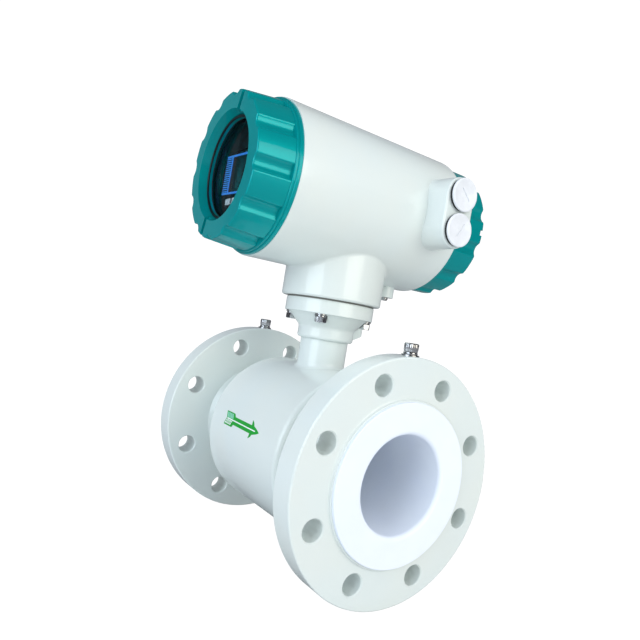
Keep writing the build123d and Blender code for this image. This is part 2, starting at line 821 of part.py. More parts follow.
def cover_blank(side, depth, fall, turn):
    """The outside of a cover: stepped base ring, lobed grip, skirt with its ring groove, spanner slots.

    The fall is how much the grip's radius shrinks towards its face, and the turn is the angle of the
    slots, which lie on the crests of two lobes.
    """
    seat = cover_plane(side)
    outwards = Axis((0, 0, 0), (0, side, 0))
    slot_start = window_r - window_taper
    slot_end = crest_r + 1
    with BuildPart() as cover:
        with BuildSketch(seat):
            Circle(base_ring_r)
        extrude(amount=base_ring_foot)
        fillet(cover.edges().sort_by(outwards)[-1], base_ring_round)
        with BuildSketch(seat.offset(base_ring_foot)):
            Circle(upper_ring_r)
        extrude(amount=base_ring_height - base_ring_foot)
        fillet(cover.edges().sort_by(outwards)[-1], base_ring_round)
        grip_foot = grip_outline(seat.offset(base_ring_height), crest_r, turn)
        grip_end = grip_outline(seat.offset(depth), crest_r - fall, turn)
        loft([grip_foot, grip_end], ruled=True)
        fillet(cover.faces().sort_by(outwards)[-1].edges(), grip_edge_round)
        with BuildSketch(seat):
            Circle(skirt_r)
        extrude(amount=-skirt_length)
        with BuildSketch(seat.offset(-ring_groove_start)):
            Circle(skirt_r)
            Circle(groove_r, mode=Mode.SUBTRACT)
        extrude(amount=-ring_groove_width, mode=Mode.SUBTRACT)
        with BuildSketch(seat.offset(depth - slot_depth)):
            with PolarLocations((slot_start + slot_end) / 2, 2, turn):
                Rectangle(slot_end - slot_start, slot_width)
        extrude(amount=slot_depth, mode=Mode.SUBTRACT)
    return cover.part


# Front cover, opened for the window: bore, retainer and glass pockets, lip and sloping recess
with BuildPart() as front_cover:
    add(cover_blank(-1, front_cover_depth, front_grip_fall, front_cover_turn))
    with BuildSketch(cover_section(-1)):
        Polygon(
            (0, -skirt_length),
            (cover_bore_r, -skirt_length),
            (cover_bore_r, retainer_inner),
            (retainer_pocket_r, retainer_inner),
            (retainer_pocket_r, glass_inner),
            (glass_pocket_r, glass_inner),
            (glass_pocket_r, lip_inner),
            (lip_r, lip_inner),
            (lip_r, lip_outer),
            (window_r - window_taper, lip_outer),
            (window_r, front_cover_depth),
            (0, front_cover_depth),
            align=None,
        )
    revolve(axis=head_axis, mode=Mode.SUBTRACT)
write(front_cover.part, "front_cover")

front_seat = cover_plane(-1)
window_gasket = sleeve(front_seat.offset(glass_outer), glass_r, lip_r, window_gasket_thickness)
write(window_gasket, "window_gasket")

with BuildPart() as window_glass:
    with BuildSketch(front_seat.offset(glass_inner)):
        Circle(glass_r)
    extrude(amount=glass_thickness)
    chamfer(window_glass.edges().filter_by(GeomType.CIRCLE), glass_chamfer)
write(window_glass.part, "window_glass")

# Glass retainer, screwed in behind the glass, with two notches for its spanner
with BuildPart() as glass_retainer:
    with BuildSketch(front_seat.offset(retainer_inner)):
        Circle(retainer_r)
        Circle(retainer_inner_r, mode=Mode.SUBTRACT)
    extrude(amount=retainer_thickness)
    with BuildSketch(front_seat.offset(retainer_inner)):
        with PolarLocations(retainer_inner_r, 2):
            Rectangle(retainer_notch, retainer_notch)
    extrude(amount=retainer_thickness / 2, mode=Mode.SUBTRACT)
write(glass_retainer.part, "glass_retainer")

# Rear cover, closed, with a shallow dish in its face
with BuildPart() as rear_cover:
    add(cover_blank(1, rear_cover_depth, rear_grip_fall, rear_cover_turn))
    with BuildSketch(cover_plane(1).offset(-skirt_length)):
        Circle(cover_bore_r)
    extrude(amount=skirt_length + rear_cover_depth - rear_cover_face, mode=Mode.SUBTRACT)
    with BuildSketch(cover_plane(1).offset(rear_cover_depth - rear_cover_dish)):
        Circle(window_r)
    extrude(amount=rear_cover_dish, mode=Mode.SUBTRACT)
write(rear_cover.part, "rear_cover")

# Sealing rings in the covers' grooves
for side, name in ((-1, "front_seal"), (1, "rear_seal")):
    with BuildPart() as cover_seal:
        with BuildSketch(cover_section(side)):
            with Locations((ring_major_r, -ring_centre)):
                Circle(ring_section_d / 2)
        revolve(axis=head_axis)
    write(cover_seal.part, name)

# Display bezel: round plate with the panel window, key holes, wall and screw bosses
key_hole_width = key_width + 2 * running_fit
key_hole_height = key_height + 2 * running_fit
key_spots = [(x, -key_drop) for x in key_places]
with BuildPart() as display_bezel:
    with BuildSketch(head_front.offset(bezel_front)):
        Circle(bezel_r)
    extrude(amount=-bezel_depth)
    with BuildSketch(head_front.offset(display_board_front)):
        Circle(bezel_r - bezel_wall)
        with PolarLocations(pillar_ring_r, pillar_count, start_angle=45):
            Circle(pillar_inset, mode=Mode.SUBTRACT)
    extrude(amount=bezel_depth - bezel_plate, mode=Mode.SUBTRACT)
    with BuildSketch(head_front.offset(bezel_front)):
        Rectangle(panel_width + 2 * panel_gap, panel_height + 2 * panel_gap)
        with Locations(*key_spots):
            Rectangle(key_hole_width, key_hole_height)
        with PolarLocations(pillar_ring_r, pillar_count, start_angle=45):
            Circle(pillar_thread_d / 2 + running_fit)
    extrude(amount=-bezel_depth, mode=Mode.SUBTRACT)
    with BuildSketch(head_front.offset(bezel_front)):
        with PolarLocations(pillar_ring_r, pillar_count, start_angle=45):
            Circle(bezel_screw_head_d / 2 + running_fit)
    extrude(amount=-bezel_screw_head_height, mode=Mode.SUBTRACT)
write(display_bezel.part, "display_bezel")

with BuildPart() as display_panel:
    with BuildSketch(head_front.offset(display_board_front)):
        Rectangle(panel_width, panel_height)
    extrude(amount=bezel_depth - panel_set_back)
write(display_panel.part, "display_panel")

# Keys: a cap through the bezel, a flange behind it and a stem over the switch
key_flange_front = bezel_front - bezel_plate - seat_fit
key_stem_end = switch_top + key_travel + seat_fit
for x, name in zip(key_places, ("menu_key", "up_key", "down_key", "enter_key")):
    with BuildPart() as key:
        with BuildSketch(head_front.offset(key_flange_front)):
            with Locations((x, -key_drop)):
                RectangleRounded(key_width, key_height, key_corner_round)
        extrude(amount=bezel_front + key_proud - key_flange_front)
        with BuildSketch(head_front.offset(key_flange_front)):
            with Locations((x, -key_drop)):
                Rectangle(key_width + 2 * key_flange, key_height + 2 * key_flange)
        extrude(amount=-key_flange_thickness)
        with BuildSketch(head_front.offset(key_stem_end)):
            with Locations((x, -key_drop)):
                Circle(key_stem_d / 2)
        extrude(amount=key_flange_front - key_stem_end)
    write(key.part, name)


def round_board(front, board_r):
    """A round circuit board, facing the display, with a hole for each pillar."""
    with BuildPart() as board:
        with BuildSketch(head_front.offset(front)):
            Circle(board_r)
            with PolarLocations(pillar_ring_r, pillar_count, start_angle=45):
                Circle(thread_hole_r, mode=Mode.SUBTRACT)
        extrude(amount=-board_thickness)
    return board.part


write(round_board(display_board_front, bezel_r), "display_board")
write(round_board(main_board_front, cavity_r - main_board_margin), "main_board")
write(round_board(power_board_front, cavity_r - power_board_margin), "power_board")

with BuildPart() as key_switches:
    with BuildSketch(head_front.offset(display_board_front)):
        with Locations(*key_spots):
            Rectangle(switch_size, switch_size)
    extrude(amount=switch_height)
    with BuildSketch(head_front.offset(display_board_front + switch_height)):
        with Locations(*key_spots):
            Circle(plunger_d / 2)
    extrude(amount=plunger_height)
write(key_switches.part, "key_switches")


def board_components(board_front, components):
    """Box-shaped components on a board, each given as its place, width, height and thickness."""
    with BuildPart() as placed:
        for place, width, height, thickness in components:
            with BuildSketch(head_front.offset(board_front)):
                with Locations(place):
                    Rectangle(width, height)
            extrude(amount=thickness)
    return placed.part


processor = ((0.0, 14.0), 16.0, 16.0, 1.6)
converter_chip = ((-28.0, -6.0), 10.0, 12.0, 1.8)
memory_chip = ((24.0, -8.0), 8.0, 6.0, 1.4)
ribbon_socket = ((0.0, -36.0), 34.0, 7.0, 8.0)
sensor_socket = ((36.0, 10.0), 7.0, 18.0, 9.0)
main_components = (processor, converter_chip, memory_chip, ribbon_socket, sensor_socket)
write(board_components(main_board_front, main_components), "board_chips")

transformer_body = ((-14.0, 6.0), 34.0, 28.0, 26.0)
write(board_components(power_board_front, (transformer_body,)), "transformer")

# Capacitors, upright on the power board
capacitor_d = 12.0
capacitor_height = 22.0
capacitor_places = [(28.0, 14.0), (28.0, 0.0), (28.0, -14.0), (-8.0, -30.0)]
with BuildPart() as capacitors:
    with BuildSketch(head_front.offset(power_board_front)):
        with Locations(*capacitor_places):
            Circle(capacitor_d / 2)
    extrude(amount=capacitor_height)
write(capacitors.part, "capacitors")


def pillars(back, front):
    """Hexagon pillars between two boards, with a stud at the back and a tapped hole at the front."""
    with BuildPart() as group:
        with BuildSketch(head_front.offset(back)):
            with PolarLocations(pillar_ring_r, pillar_count, start_angle=45):
                RegularPolygon(pillar_flats / 2, 6, major_radius=False)
        extrude(amount=front - back)
        with BuildSketch(head_front.offset(front)):
            with PolarLocations(pillar_ring_r, pillar_count, start_angle=45):
                Circle(thread_hole_r)
        extrude(amount=-pillar_hole_depth, mode=Mode.SUBTRACT)
        with BuildSketch(head_front.offset(back)):
            with PolarLocations(pillar_ring_r, pillar_count, start_angle=45):
                Circle(pillar_thread_d / 2)
        extrude(amount=-pillar_stud)
    return group.part


write(pillars(pillar_boss_front, power_board_back), "rear_pillars")
write(pillars(power_board_front, main_board_back), "middle_pillars")
write(pillars(main_board_front, display_board_back), "front_pillars")

with BuildPart() as bezel_screws:
    with BuildSketch(head_front.offset(bezel_front - bezel_screw_head_height)):
        with PolarLocations(pillar_ring_r, pillar_count, start_angle=45):
            Circle(bezel_screw_head_d / 2)
    extrude(amount=bezel_screw_head_height)
    with BuildSketch(head_front.offset(display_board_back - bezel_screw_reach)):
        with PolarLocations(pillar_ring_r, pillar_count, start_angle=45):
            Circle(pillar_thread_d / 2)
    extrude(amount=bezel_front - bezel_screw_head_height - display_board_back + bezel_screw_reach)
write(bezel_screws.part, "bezel_screws")

# Terminal block on the rear of the partition, with a wire hole from below and a screw for each wire
terminal_back = partition_back + terminal_depth
terminal_places = [
    ((i - (terminal_count - 1) / 2) * terminal_pitch, -terminal_rise) for i in range(terminal_count)
]
terminal_floor = head_height + terminal_rise - terminal_height / 2
with BuildPart() as terminal_block:
    with BuildSketch(head_rear.offset(partition_back)):
        with Locations((0, -terminal_rise)):
            Rectangle(terminal_count * terminal_pitch + 2 * terminal_end, terminal_height)
    extrude(amount=terminal_depth)
    with BuildSketch(head_rear.offset(terminal_back)):
        with Locations(*terminal_places):
            Circle(terminal_head_d / 2 + seat_fit)
    extrude(amount=-terminal_head_height, mode=Mode.SUBTRACT)
    with BuildSketch(head_rear.offset(terminal_back)):
        with Locations(*terminal_places):
            Circle(terminal_screw_d / 2 + seat_fit)
    extrude(amount=-terminal_head_height - terminal_screw_reach, mode=Mode.SUBTRACT)
    with BuildSketch(Plane.XY.offset(terminal_floor)):
        with Locations((0, partition_back + terminal_depth / 2)):
            with GridLocations(terminal_pitch, 1, terminal_count, 1):
                Circle(terminal_wire_d / 2)
    extrude(amount=terminal_height / 3, mode=Mode.SUBTRACT)
write(terminal_block.part, "terminal_block")

with BuildPart() as terminal_screws:
    with BuildSketch(head_rear.offset(terminal_back)):
        with Locations(*terminal_places):
            Circle(terminal_head_d / 2)
    extrude(amount=-terminal_head_height)
    with BuildSketch(head_rear.offset(terminal_back)):
        with Locations(*terminal_places):
            Rectangle(terminal_head_d, terminal_head_slot)
    extrude(amount=-terminal_head_height / 2, mode=Mode.SUBTRACT)
    with BuildSketch(head_rear.offset(terminal_back - terminal_head_height)):
        with Locations(*terminal_places):
            Circle(terminal_screw_d / 2)
    extrude(amount=-terminal_screw_reach)
write(terminal_screws.part, "terminal_screws")

# Cable entry plugs, with a screwdriver slot in the head and a sealing washer under it
plugs = (("upper", cable_pitch / 2, upper_slot_turn), ("lower", -cable_pitch / 2, lower_slot_turn))
for place, rise, slot_angle in plugs:
    entry = Plane(
        origin=(cable_block_x, cable_block_y, head_height + rise), x_dir=(0, 1, 0), z_dir=(1, 0, 0)
    )
    with BuildPart() as plug:
        with BuildSketch(entry.offset(plug_seal_thickness)):
            Circle(plug_head_d / 2)
        extrude(amount=plug_head_height)
        fillet(plug.edges().sort_by(Axis.X)[-1], plug_head_round)
        with BuildSketch(entry.offset(plug_seal_thickness + plug_head_height)):
            SlotOverall(plug_slot_length, plug_slot_width, rotation=slot_angle)
        extrude(amount=-plug_slot_depth, mode=Mode.SUBTRACT)
        with BuildSketch(entry.offset(plug_seal_thickness)):
            Circle(plug_thread_d / 2)
        extrude(amount=-plug_reach - plug_seal_thickness)
    write(plug.part, f"{place}_plug")
    seal = sleeve(entry, plug_seal_d / 2, cable_bore_r, plug_seal_thickness)
    write(seal, f"{place}_plug_seal")

# Earth screws on the flange rims, each with a spring washer over a flat washer
earth_seat = flange_r - earth_spot_depth
earth_spring_seat = earth_seat + earth_flat_washer_thickness
earth_head_seat = earth_spring_seat + earth_spring_washer_thickness
earth_spots = [(-flange_middle_x, 0), (flange_middle_x, 0)]
with BuildPart() as earth_screws:
    with BuildSketch(Plane.XY.offset(earth_head_seat)):
        with Locations(*earth_spots):
            Circle(earth_head_d / 2)
    extrude(amount=earth_head_height)
    with BuildSketch(Plane.XY.offset(earth_head_seat + earth_head_height)):
        with Locations(*earth_spots):
            RegularPolygon(earth_socket / 2, 6, major_radius=False)
    extrude(amount=-earth_socket_depth, mode=Mode.SUBTRACT)
    with BuildSketch(Plane.XY.offset(earth_head_seat)):
        with Locations(*earth_spots):
            Circle(earth_thread_d / 2)
    extrude(amount=earth_seat - earth_reach - earth_head_seat)
write(earth_screws.part, "earth_screws")


def earth_washer_pair(seat, outer_d, thickness):
    """The same washer on both earth screws."""
    with BuildPart() as washers:
        with BuildSketch(Plane.XY.offset(seat)):
            with Locations(*earth_spots):
                Circle(outer_d / 2)
                Circle(earth_thread_d / 2 + seat_fit, mode=Mode.SUBTRACT)
        extrude(amount=thickness)
    return washers.part


flat_washers = earth_washer_pair(earth_seat, earth_flat_washer_d, earth_flat_washer_thickness)
write(flat_washers, "earth_washers")
spring_washers = earth_washer_pair(earth_spring_seat, earth_spring_washer_d, earth_spring_washer_thickness)
write(spring_washers, "earth_spring_washers")
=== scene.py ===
"""Dresses an electromagnetic flow meter for its product picture.

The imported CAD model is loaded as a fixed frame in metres. The pipe runs along X with the flow
towards +X, the head's axis is parallel to Y with the display towards -Y, and Z is up. The origin
is the middle of the pipe section. Each sub-assembly is a class with its sizes in millimetres.
"""

import logging
import math
from abc import ABC, abstractmethod
from dataclasses import dataclass, field
from enum import Enum
from functools import lru_cache
from typing import Callable, Iterable, Sequence, Union

import bmesh
import bpy
from mathutils import Matrix, Vector


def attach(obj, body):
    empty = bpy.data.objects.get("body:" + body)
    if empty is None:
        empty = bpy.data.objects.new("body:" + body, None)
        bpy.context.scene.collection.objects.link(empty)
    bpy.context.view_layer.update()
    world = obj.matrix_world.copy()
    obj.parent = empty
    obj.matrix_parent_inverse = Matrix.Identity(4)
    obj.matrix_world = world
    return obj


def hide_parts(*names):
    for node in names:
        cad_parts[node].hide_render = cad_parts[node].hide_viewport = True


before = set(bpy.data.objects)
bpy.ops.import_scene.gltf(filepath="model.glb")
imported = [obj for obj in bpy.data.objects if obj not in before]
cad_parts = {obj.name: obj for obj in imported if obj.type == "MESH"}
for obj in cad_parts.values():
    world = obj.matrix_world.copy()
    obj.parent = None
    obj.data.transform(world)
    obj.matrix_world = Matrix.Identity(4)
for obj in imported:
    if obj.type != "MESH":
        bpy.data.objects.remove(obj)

LOG = logging.getLogger("flow_meter")
MM = 0.001
HEAD_HEIGHT = 254.3
SHARP_ANGLE = 32.0

Colour = tuple[float, float, float]
Point = tuple[float, float]


def rgba(colour: Colour) -> tuple[float, float, float, float]:
    """Returns a colour with full opacity, as node sockets take it."""
    return (*colour, 1.0)


def shade(colour: Colour, factor: float) -> Colour:
    """Returns a colour made lighter or darker by a factor."""
    return tuple(min(1.0, channel * factor) for channel in colour)


# Shader building


@dataclass(frozen=True)
class Signal:
    """A shader socket that carries a number, with Python's operators for its maths."""

    sheet: "NodeSheet"
    socket: bpy.types.NodeSocket

    def maths(self, operation: str, *operands: "Number") -> "Signal":
        """Adds a Math node.

        Args:
            operation: The Math node's operation.
            operands: Its inputs in order, numbers or signals.

        Returns:
            The node's result.
        """
        node = self.sheet.add("ShaderNodeMath", {"operation": operation}, dict(enumerate(operands)))
        return Signal(self.sheet, node.outputs[0])

    def __add__(self, other: "Number") -> "Signal":
        """Returns self + other."""
        return self.maths("ADD", self, other)

    def __radd__(self, other: "Number") -> "Signal":
        """Returns other + self."""
        return self.maths("ADD", other, self)

    def __sub__(self, other: "Number") -> "Signal":
        """Returns self - other."""
        return self.maths("SUBTRACT", self, other)

    def __rsub__(self, other: "Number") -> "Signal":
        """Returns other - self."""
        return self.maths("SUBTRACT", other, self)

    def __mul__(self, other: "Number") -> "Signal":
        """Returns self * other."""
        return self.maths("MULTIPLY", self, other)

    def __rmul__(self, other: "Number") -> "Signal":
        """Returns other * self."""
        return self.maths("MULTIPLY", other, self)

    def most(self, other: "Number") -> "Signal":
        """Returns the larger of self and other."""
        return self.maths("MAXIMUM", self, other)

    def waves(self, length: float) -> "Signal":
        """Returns a wave from 0 to 1 along the signal, with its length in millimetres."""
        return self.maths("SINE", self * (2 * math.pi / (length * MM))) * 0.5 + 0.5

    def root(self) -> "Signal":
        """Returns the square root of the signal."""
        return self.maths("SQRT", self)

    def above(self, limit: float, width: float) -> "Signal":
        """Returns a soft step from 0 to 1.

        Args:
            limit: The value at the middle of the step.
            width: The width of the step.

        Returns:
            The step as a signal.
        """
        settings = {"interpolation_type": "SMOOTHSTEP"}
        values = {0: self, 1: limit - width / 2, 2: limit + width / 2, 3: 0.0, 4: 1.0}
        return Signal(self.sheet, self.sheet.add("ShaderNodeMapRange", settings, values).outputs[0])


Number = Union[float, int, Signal]
Socket = bpy.types.NodeSocket


class NodeSheet:
    """A node tree, and the single way that nodes are added to it."""

    def __init__(self, tree: bpy.types.NodeTree) -> None:
        """Empties a node tree and keeps it for building.

        Args:
            tree: The node tree of a material or world.
        """
        self.tree = tree
        self.tree.nodes.clear()
        self._place: Socket | None = None

    def add(self, kind: str, settings: dict | None = None, values: dict | None = None) -> bpy.types.Node:
        """Adds a node.

        Args:
            kind: The node's type.
            settings: Its properties, set first.
            values: Numbers, colours, signals or sockets by input name or number.

        Returns:
            The new node.
        """
        node = self.tree.nodes.new(kind)
        for key, value in (settings or {}).items():
            setattr(node, key, value)
        for key, value in (values or {}).items():
            source = value.socket if isinstance(value, Signal) else value
            if isinstance(source, Socket):
                self.tree.links.new(source, node.inputs[key])
            else:
                node.inputs[key].default_value = source
        return node

    @property
    def place(self) -> Socket:
        """The point on the object that is shaded, in metres."""
        if self._place is None:
            self._place = self.add("ShaderNodeTexCoord").outputs["Object"]
        return self._place

    def axes(self) -> tuple[Signal, Signal, Signal]:
        """Returns the X, Y and Z of the shaded point, in metres."""
        node = self.add("ShaderNodeSeparateXYZ", None, {0: self.place})
        return tuple(Signal(self, output) for output in node.outputs)

    def moved(self, scale: Colour = (1.0, 1.0, 1.0), turn: Colour = (0.0, 0.0, 0.0)) -> Socket:
        """Returns the shaded point after scaling and turning it."""
        values = {"Vector": self.place, "Scale": scale, "Rotation": turn}
        return self.add("ShaderNodeMapping", None, values).outputs[0]

    def noise(
        self, size: float, detail: float = 3.0, rough: float = 0.5, place: Socket | None = None
    ) -> Signal:
        """Adds smooth noise.

        Args:
            size: The size of one bump, in millimetres.
            detail: The number of finer layers.
            rough: The strength of the finer layers.
            place: The point to read, or the shaded point.

        Returns:
            Noise between 0 and 1.
        """
        values = {
            "Vector": place or self.place, "Scale": 1.0 / (size * MM), "Detail": detail, "Roughness": rough
        }
        return Signal(self, self.add("ShaderNodeTexNoise", None, values).outputs["Fac"])

    def cells(self, size: float, place: Socket | None = None) -> Signal:
        """Returns the distance to the nearest cell's middle, for cells of a size in millimetres."""
        values = {"Vector": place or self.place, "Scale": 1.0 / (size * MM)}
        return Signal(self, self.add("ShaderNodeTexVoronoi", None, values).outputs["Distance"])

    def blend(self, factor: Number, first: Colour | Socket, second: Colour | Socket) -> Socket:
        """Mixes two colours.

        Args:
            factor: The share of the second colour.
            first: The colour at 0.
            second: The colour at 1.

        Returns:
            The mixed colour's socket.
        """
        inks = {6: first, 7: second}
        values = {key: ink if isinstance(ink, Socket) else rgba(ink) for key, ink in inks.items()}
        node = self.add("ShaderNodeMix", {"data_type": "RGBA"}, {0: factor, **values})
        return node.outputs[2]

    def bump(self, height: Signal, depth: float, under: Socket | None = None) -> Socket:
        """Turns a height signal into a normal.

        Args:
            height: The relief, from 0 to 1.
            depth: The relief's depth, in millimetres.
            under: The normal of a coarser relief below this one.

        Returns:
            The normal's socket.
        """
        values = {"Height": height, "Distance": depth * MM, "Strength": 1.0}
        if under is not None:
            values["Normal"] = under
        return self.add("ShaderNodeBump", None, values).outputs[0]

    def surface(self, values: dict) -> Socket:
        """Adds the main surface shader with its inputs and returns its output."""
        return self.add("ShaderNodeBsdfPrincipled", None, values).outputs[0]

    def finish(self, shader: Socket, kind: str = "ShaderNodeOutputMaterial") -> None:
        """Ends the sheet with an output node that takes a shader."""
        self.add(kind, None, {"Surface": shader})


# Finishes


class Finish(ABC):
    """How a surface looks. Each finish describes its own nodes."""

    name: str

    @abstractmethod
    def draw(self, sheet: NodeSheet) -> Socket:
        """Builds the finish's nodes and returns its shader."""


@lru_cache(maxsize=None)
def material_of(finish: Finish) -> bpy.types.Material:
    """Makes a finish's material, once for each finish.

    Args:
        finish: The finish to make.

    Returns:
        The material.
    """
    material = bpy.data.materials.new(finish.name)
    material.use_nodes = True
    sheet = NodeSheet(material.node_tree)
    sheet.finish(finish.draw(sheet))
    return material


@dataclass(frozen=True)
class Enamel(Finish):
    """Sprayed and baked paint over a casting or a turned steel part."""

    name: str
    colour: Colour
    warm: Colour
    roughness: float = 0.30
    peel: float = 3.4
    peel_depth: float = 0.016
    grit_depth: float = 0.002
    coat: float = 0.6
    gloss: float = 0.5
    flake: float = 0.0

    def draw(self, sheet: NodeSheet) -> Socket:
        """Builds the paint: a slow drift of tone, orange peel and fine grit under a thin gloss."""
        drift = sheet.noise(70.0, 2.0)
        film = sheet.noise(9.0, 4.0, 0.6)
        tone = sheet.blend(drift.above(0.5, 0.5), self.colour, self.warm)
        tone = sheet.blend(film * 0.10, tone, shade(self.colour, 0.90))
        peel = sheet.bump(sheet.noise(self.peel, 2.0, 0.4), self.peel_depth)
        grit = sheet.bump(sheet.noise(0.55, 3.0, 0.6), self.grit_depth, peel)
        return sheet.surface({
            "Base Color": tone,
            "Roughness": self.roughness - 0.05 + 0.10 * film,
            "Coat Weight": self.coat,
            "Coat Roughness": 0.05,
            "Specular IOR Level": self.gloss,
            "Metallic": self.flake,
            "Normal": grit,
        })


@dataclass(frozen=True)
class Fluoropolymer(Finish):
    """Skived and turned liner plastic: milky, waxy, with the tool's fine rings."""

    name: str
    colour: Colour = (0.85, 0.91, 0.98)
    shadow: Colour = (0.82, 0.88, 0.97)
    feed: float = 0.9

    def draw(self, sheet: NodeSheet) -> Socket:
        """Builds the milky body, faint clouds and the turned rings round the pipe's axis."""
        x, y, z = sheet.axes()
        radius = (y * y + z * z).root()
        rings = (radius + x).waves(self.feed)
        clouds = sheet.noise(34.0, 3.0, 0.5)
        tone = sheet.blend(clouds.above(0.52, 0.5), self.colour, self.shadow)
        wax = sheet.bump(sheet.noise(6.0, 2.0), 0.012)
        return sheet.surface({
            "Base Color": tone,
            "Roughness": 0.40 + 0.10 * clouds,
            "IOR": 1.36,
            "Normal": sheet.bump(rings, 0.002, wax),
        })


class Working(Enum):
    """How a metal surface was made."""

    TURNED = "turned"
    DRAWN = "drawn"
    CAST = "cast"
    PLATED = "plated"


@dataclass(frozen=True)
class Metal(Finish):
    """Bare metal with the marks of how it was made."""

    name: str
    colour: Colour
    roughness: float
    working: Working = Working.TURNED

    def marks(self, sheet: NodeSheet) -> tuple[Signal, float]:
        """Returns the relief of the surface and its depth in millimetres."""
        if self.working is Working.CAST:
            return sheet.noise(1.6, 5.0, 0.65), 0.12
        if self.working is Working.DRAWN:
            return sheet.noise(0.35, 3.0, 0.6, sheet.moved((1.0, 1.0, 0.06))), 0.012
        if self.working is Working.PLATED:
            return sheet.noise(3.0, 2.0, 0.5), 0.012
        _, _, z = sheet.axes()
        return z.waves(0.35) * 0.6 + sheet.noise(0.8, 3.0) * 0.4, 0.010

    def draw(self, sheet: NodeSheet) -> Socket:
        """Builds the metal with a drift in tone, smudges in its gloss and its tool marks."""
        relief, depth = self.marks(sheet)
        smudge = sheet.noise(5.0, 4.0, 0.6)
        tone = sheet.blend(smudge.above(0.55, 0.5), self.colour, shade(self.colour, 0.84))
        return sheet.surface({
            "Base Color": tone,
            "Metallic": 1.0,
            "Roughness": self.roughness + 0.14 * (smudge - 0.4),
            "Normal": sheet.bump(relief, depth),
        })


@dataclass(frozen=True)
class Moulded(Finish):
    """Moulded plastic, fibre or resin with a spark-eroded texture."""

    name: str
    colour: Colour
    roughness: float = 0.45
    texture: float = 0.5
    depth: float = 0.015
    coat: float = 0.0

    def draw(self, sheet: NodeSheet) -> Socket:
        """Builds the plastic with flow clouds, an eroded texture and uneven gloss."""
        flow = sheet.noise(12.0, 3.0, 0.5)
        grain = sheet.noise(self.texture, 3.0, 0.6)
        tone = sheet.blend(flow.above(0.5, 0.4), self.colour, shade(self.colour, 0.90))
        return sheet.surface({
            "Base Color": tone,
            "Roughness": self.roughness + 0.12 * (flow - 0.5),
            "Coat Weight": self.coat,
            "Coat Roughness": 0.08,
            "Normal": sheet.bump(grain, self.depth),
        })


@dataclass(frozen=True)
class Rubber(Finish):
    """Moulded sealing rubber with talc in its pores."""

    name: str
    colour: Colour = (0.022, 0.023, 0.025)

    def draw(self, sheet: NodeSheet) -> Socket:
        """Builds the matt rubber with pale specks and a fine skin."""
        pores = sheet.cells(0.9)
        specks = 1.0 - pores.above(0.12, 0.08)
        bloom = sheet.noise(7.0, 4.0, 0.6)
        tone = sheet.blend(specks * bloom * 0.4, self.colour, (0.16, 0.16, 0.165))
        return sheet.surface({
            "Base Color": tone,
            "Roughness": 0.62 + 0.2 * bloom,
            "Normal": sheet.bump(sheet.noise(0.7, 3.0), 0.02),
        })


@dataclass(frozen=True)
class Winding(Finish):
    """Enamelled copper wire wound in layers."""

    name: str
    colour: Colour = (0.42, 0.13, 0.045)
    wire: float = 0.9

    def draw(self, sheet: NodeSheet) -> Socket:
        """Builds the lacquered turns as ridges one wire apart, with painted shade in the grooves between
        turns.
        """
        x, y, _ = sheet.axes()
        ridges = (x * x).root().most((y * y).root() * 0.9).waves(self.wire)
        # Painted shade: the colour falls to less than half in the grooves between the turns.
        tone = sheet.blend(ridges, shade(self.colour, 0.45), self.colour)
        return sheet.surface({
            "Base Color": tone,
            "Metallic": 0.65,
            "Roughness": 0.42 - 0.12 * ridges,
            "Coat Weight": 0.5,
            "Coat Roughness": 0.1,
            "Normal": sheet.bump(ridges, 0.25),
        })


@dataclass(frozen=True)
class SolderMask(Finish):
    """A circuit board's lacquer over copper tracks."""

    name: str
    colour: Colour = (0.012, 0.13, 0.055)
    copper: Colour = (0.03, 0.24, 0.09)

    def draw(self, sheet: NodeSheet) -> Socket:
        """Builds tracks and pads as a raised pattern below the green lacquer."""
        x, _, z = sheet.axes()
        upright = x.waves(5.1).above(0.775, 0.05)
        level = z.waves(6.3).above(0.80, 0.05)
        zone = sheet.noise(14.0, 1.0).above(0.5, 0.05)
        tracks = (upright * zone).most(level * (1.0 - zone))
        pads = 1.0 - sheet.cells(5.0).above(0.16, 0.03)
        tone = sheet.blend(tracks, self.colour, self.copper)
        tone = sheet.blend(pads, tone, (0.62, 0.60, 0.52))
        return sheet.surface({
            "Base Color": tone,
            "Roughness": 0.28 + 0.15 * pads,
            "Metallic": pads * 0.8,
            "Normal": sheet.bump(tracks + pads, 0.05),
        })


@dataclass(frozen=True)
class ClearGlass(Finish):
    """The cover's flat window, which shadows let through."""

    name: str
    tint: Colour = (0.80, 0.86, 0.88)

    def draw(self, sheet: NodeSheet) -> Socket:
        """Builds the glass, with light passing through it for shadows."""
        smear = sheet.noise(22.0, 3.0, 0.6)
        glass = sheet.surface({
            "Base Color": rgba(self.tint),
            "Roughness": 0.01 + 0.02 * smear,
            "IOR": 1.16,
            "Transmission Weight": 1.0,
        })
        gone = sheet.add("ShaderNodeBsdfTransparent", None, {0: rgba(self.tint)}).outputs[0]
        shadow = sheet.add("ShaderNodeLightPath").outputs["Is Shadow Ray"]
        return sheet.add("ShaderNodeMixShader", None, {0: shadow, 1: glass, 2: gone}).outputs[0]


@dataclass(frozen=True)
class Ink(Finish):
    """Screen-printed ink, slightly uneven where it is thin."""

    name: str
    colour: Colour
    thin: Colour
    # glow: a painted glow in the ink's own colour; print gives no light of its own.
    glow: float = 0.0

    def draw(self, sheet: NodeSheet) -> Socket:
        """Builds the ink with thin patches, pinholes and a soft gloss, and a painted glow where glow is set.
        """
        cover = sheet.noise(1.2, 4.0, 0.65)
        tone = sheet.blend(cover.above(0.60, 0.3) * 0.5, self.colour, self.thin)
        return sheet.surface({
            "Base Color": tone,
            # Emission is a painted glow, set only for the display's printed frame lines.
            "Emission Color": tone,
            "Emission Strength": self.glow,
            "Roughness": 0.36 + 0.2 * cover,
            "Normal": sheet.bump(cover, 0.008),
        })


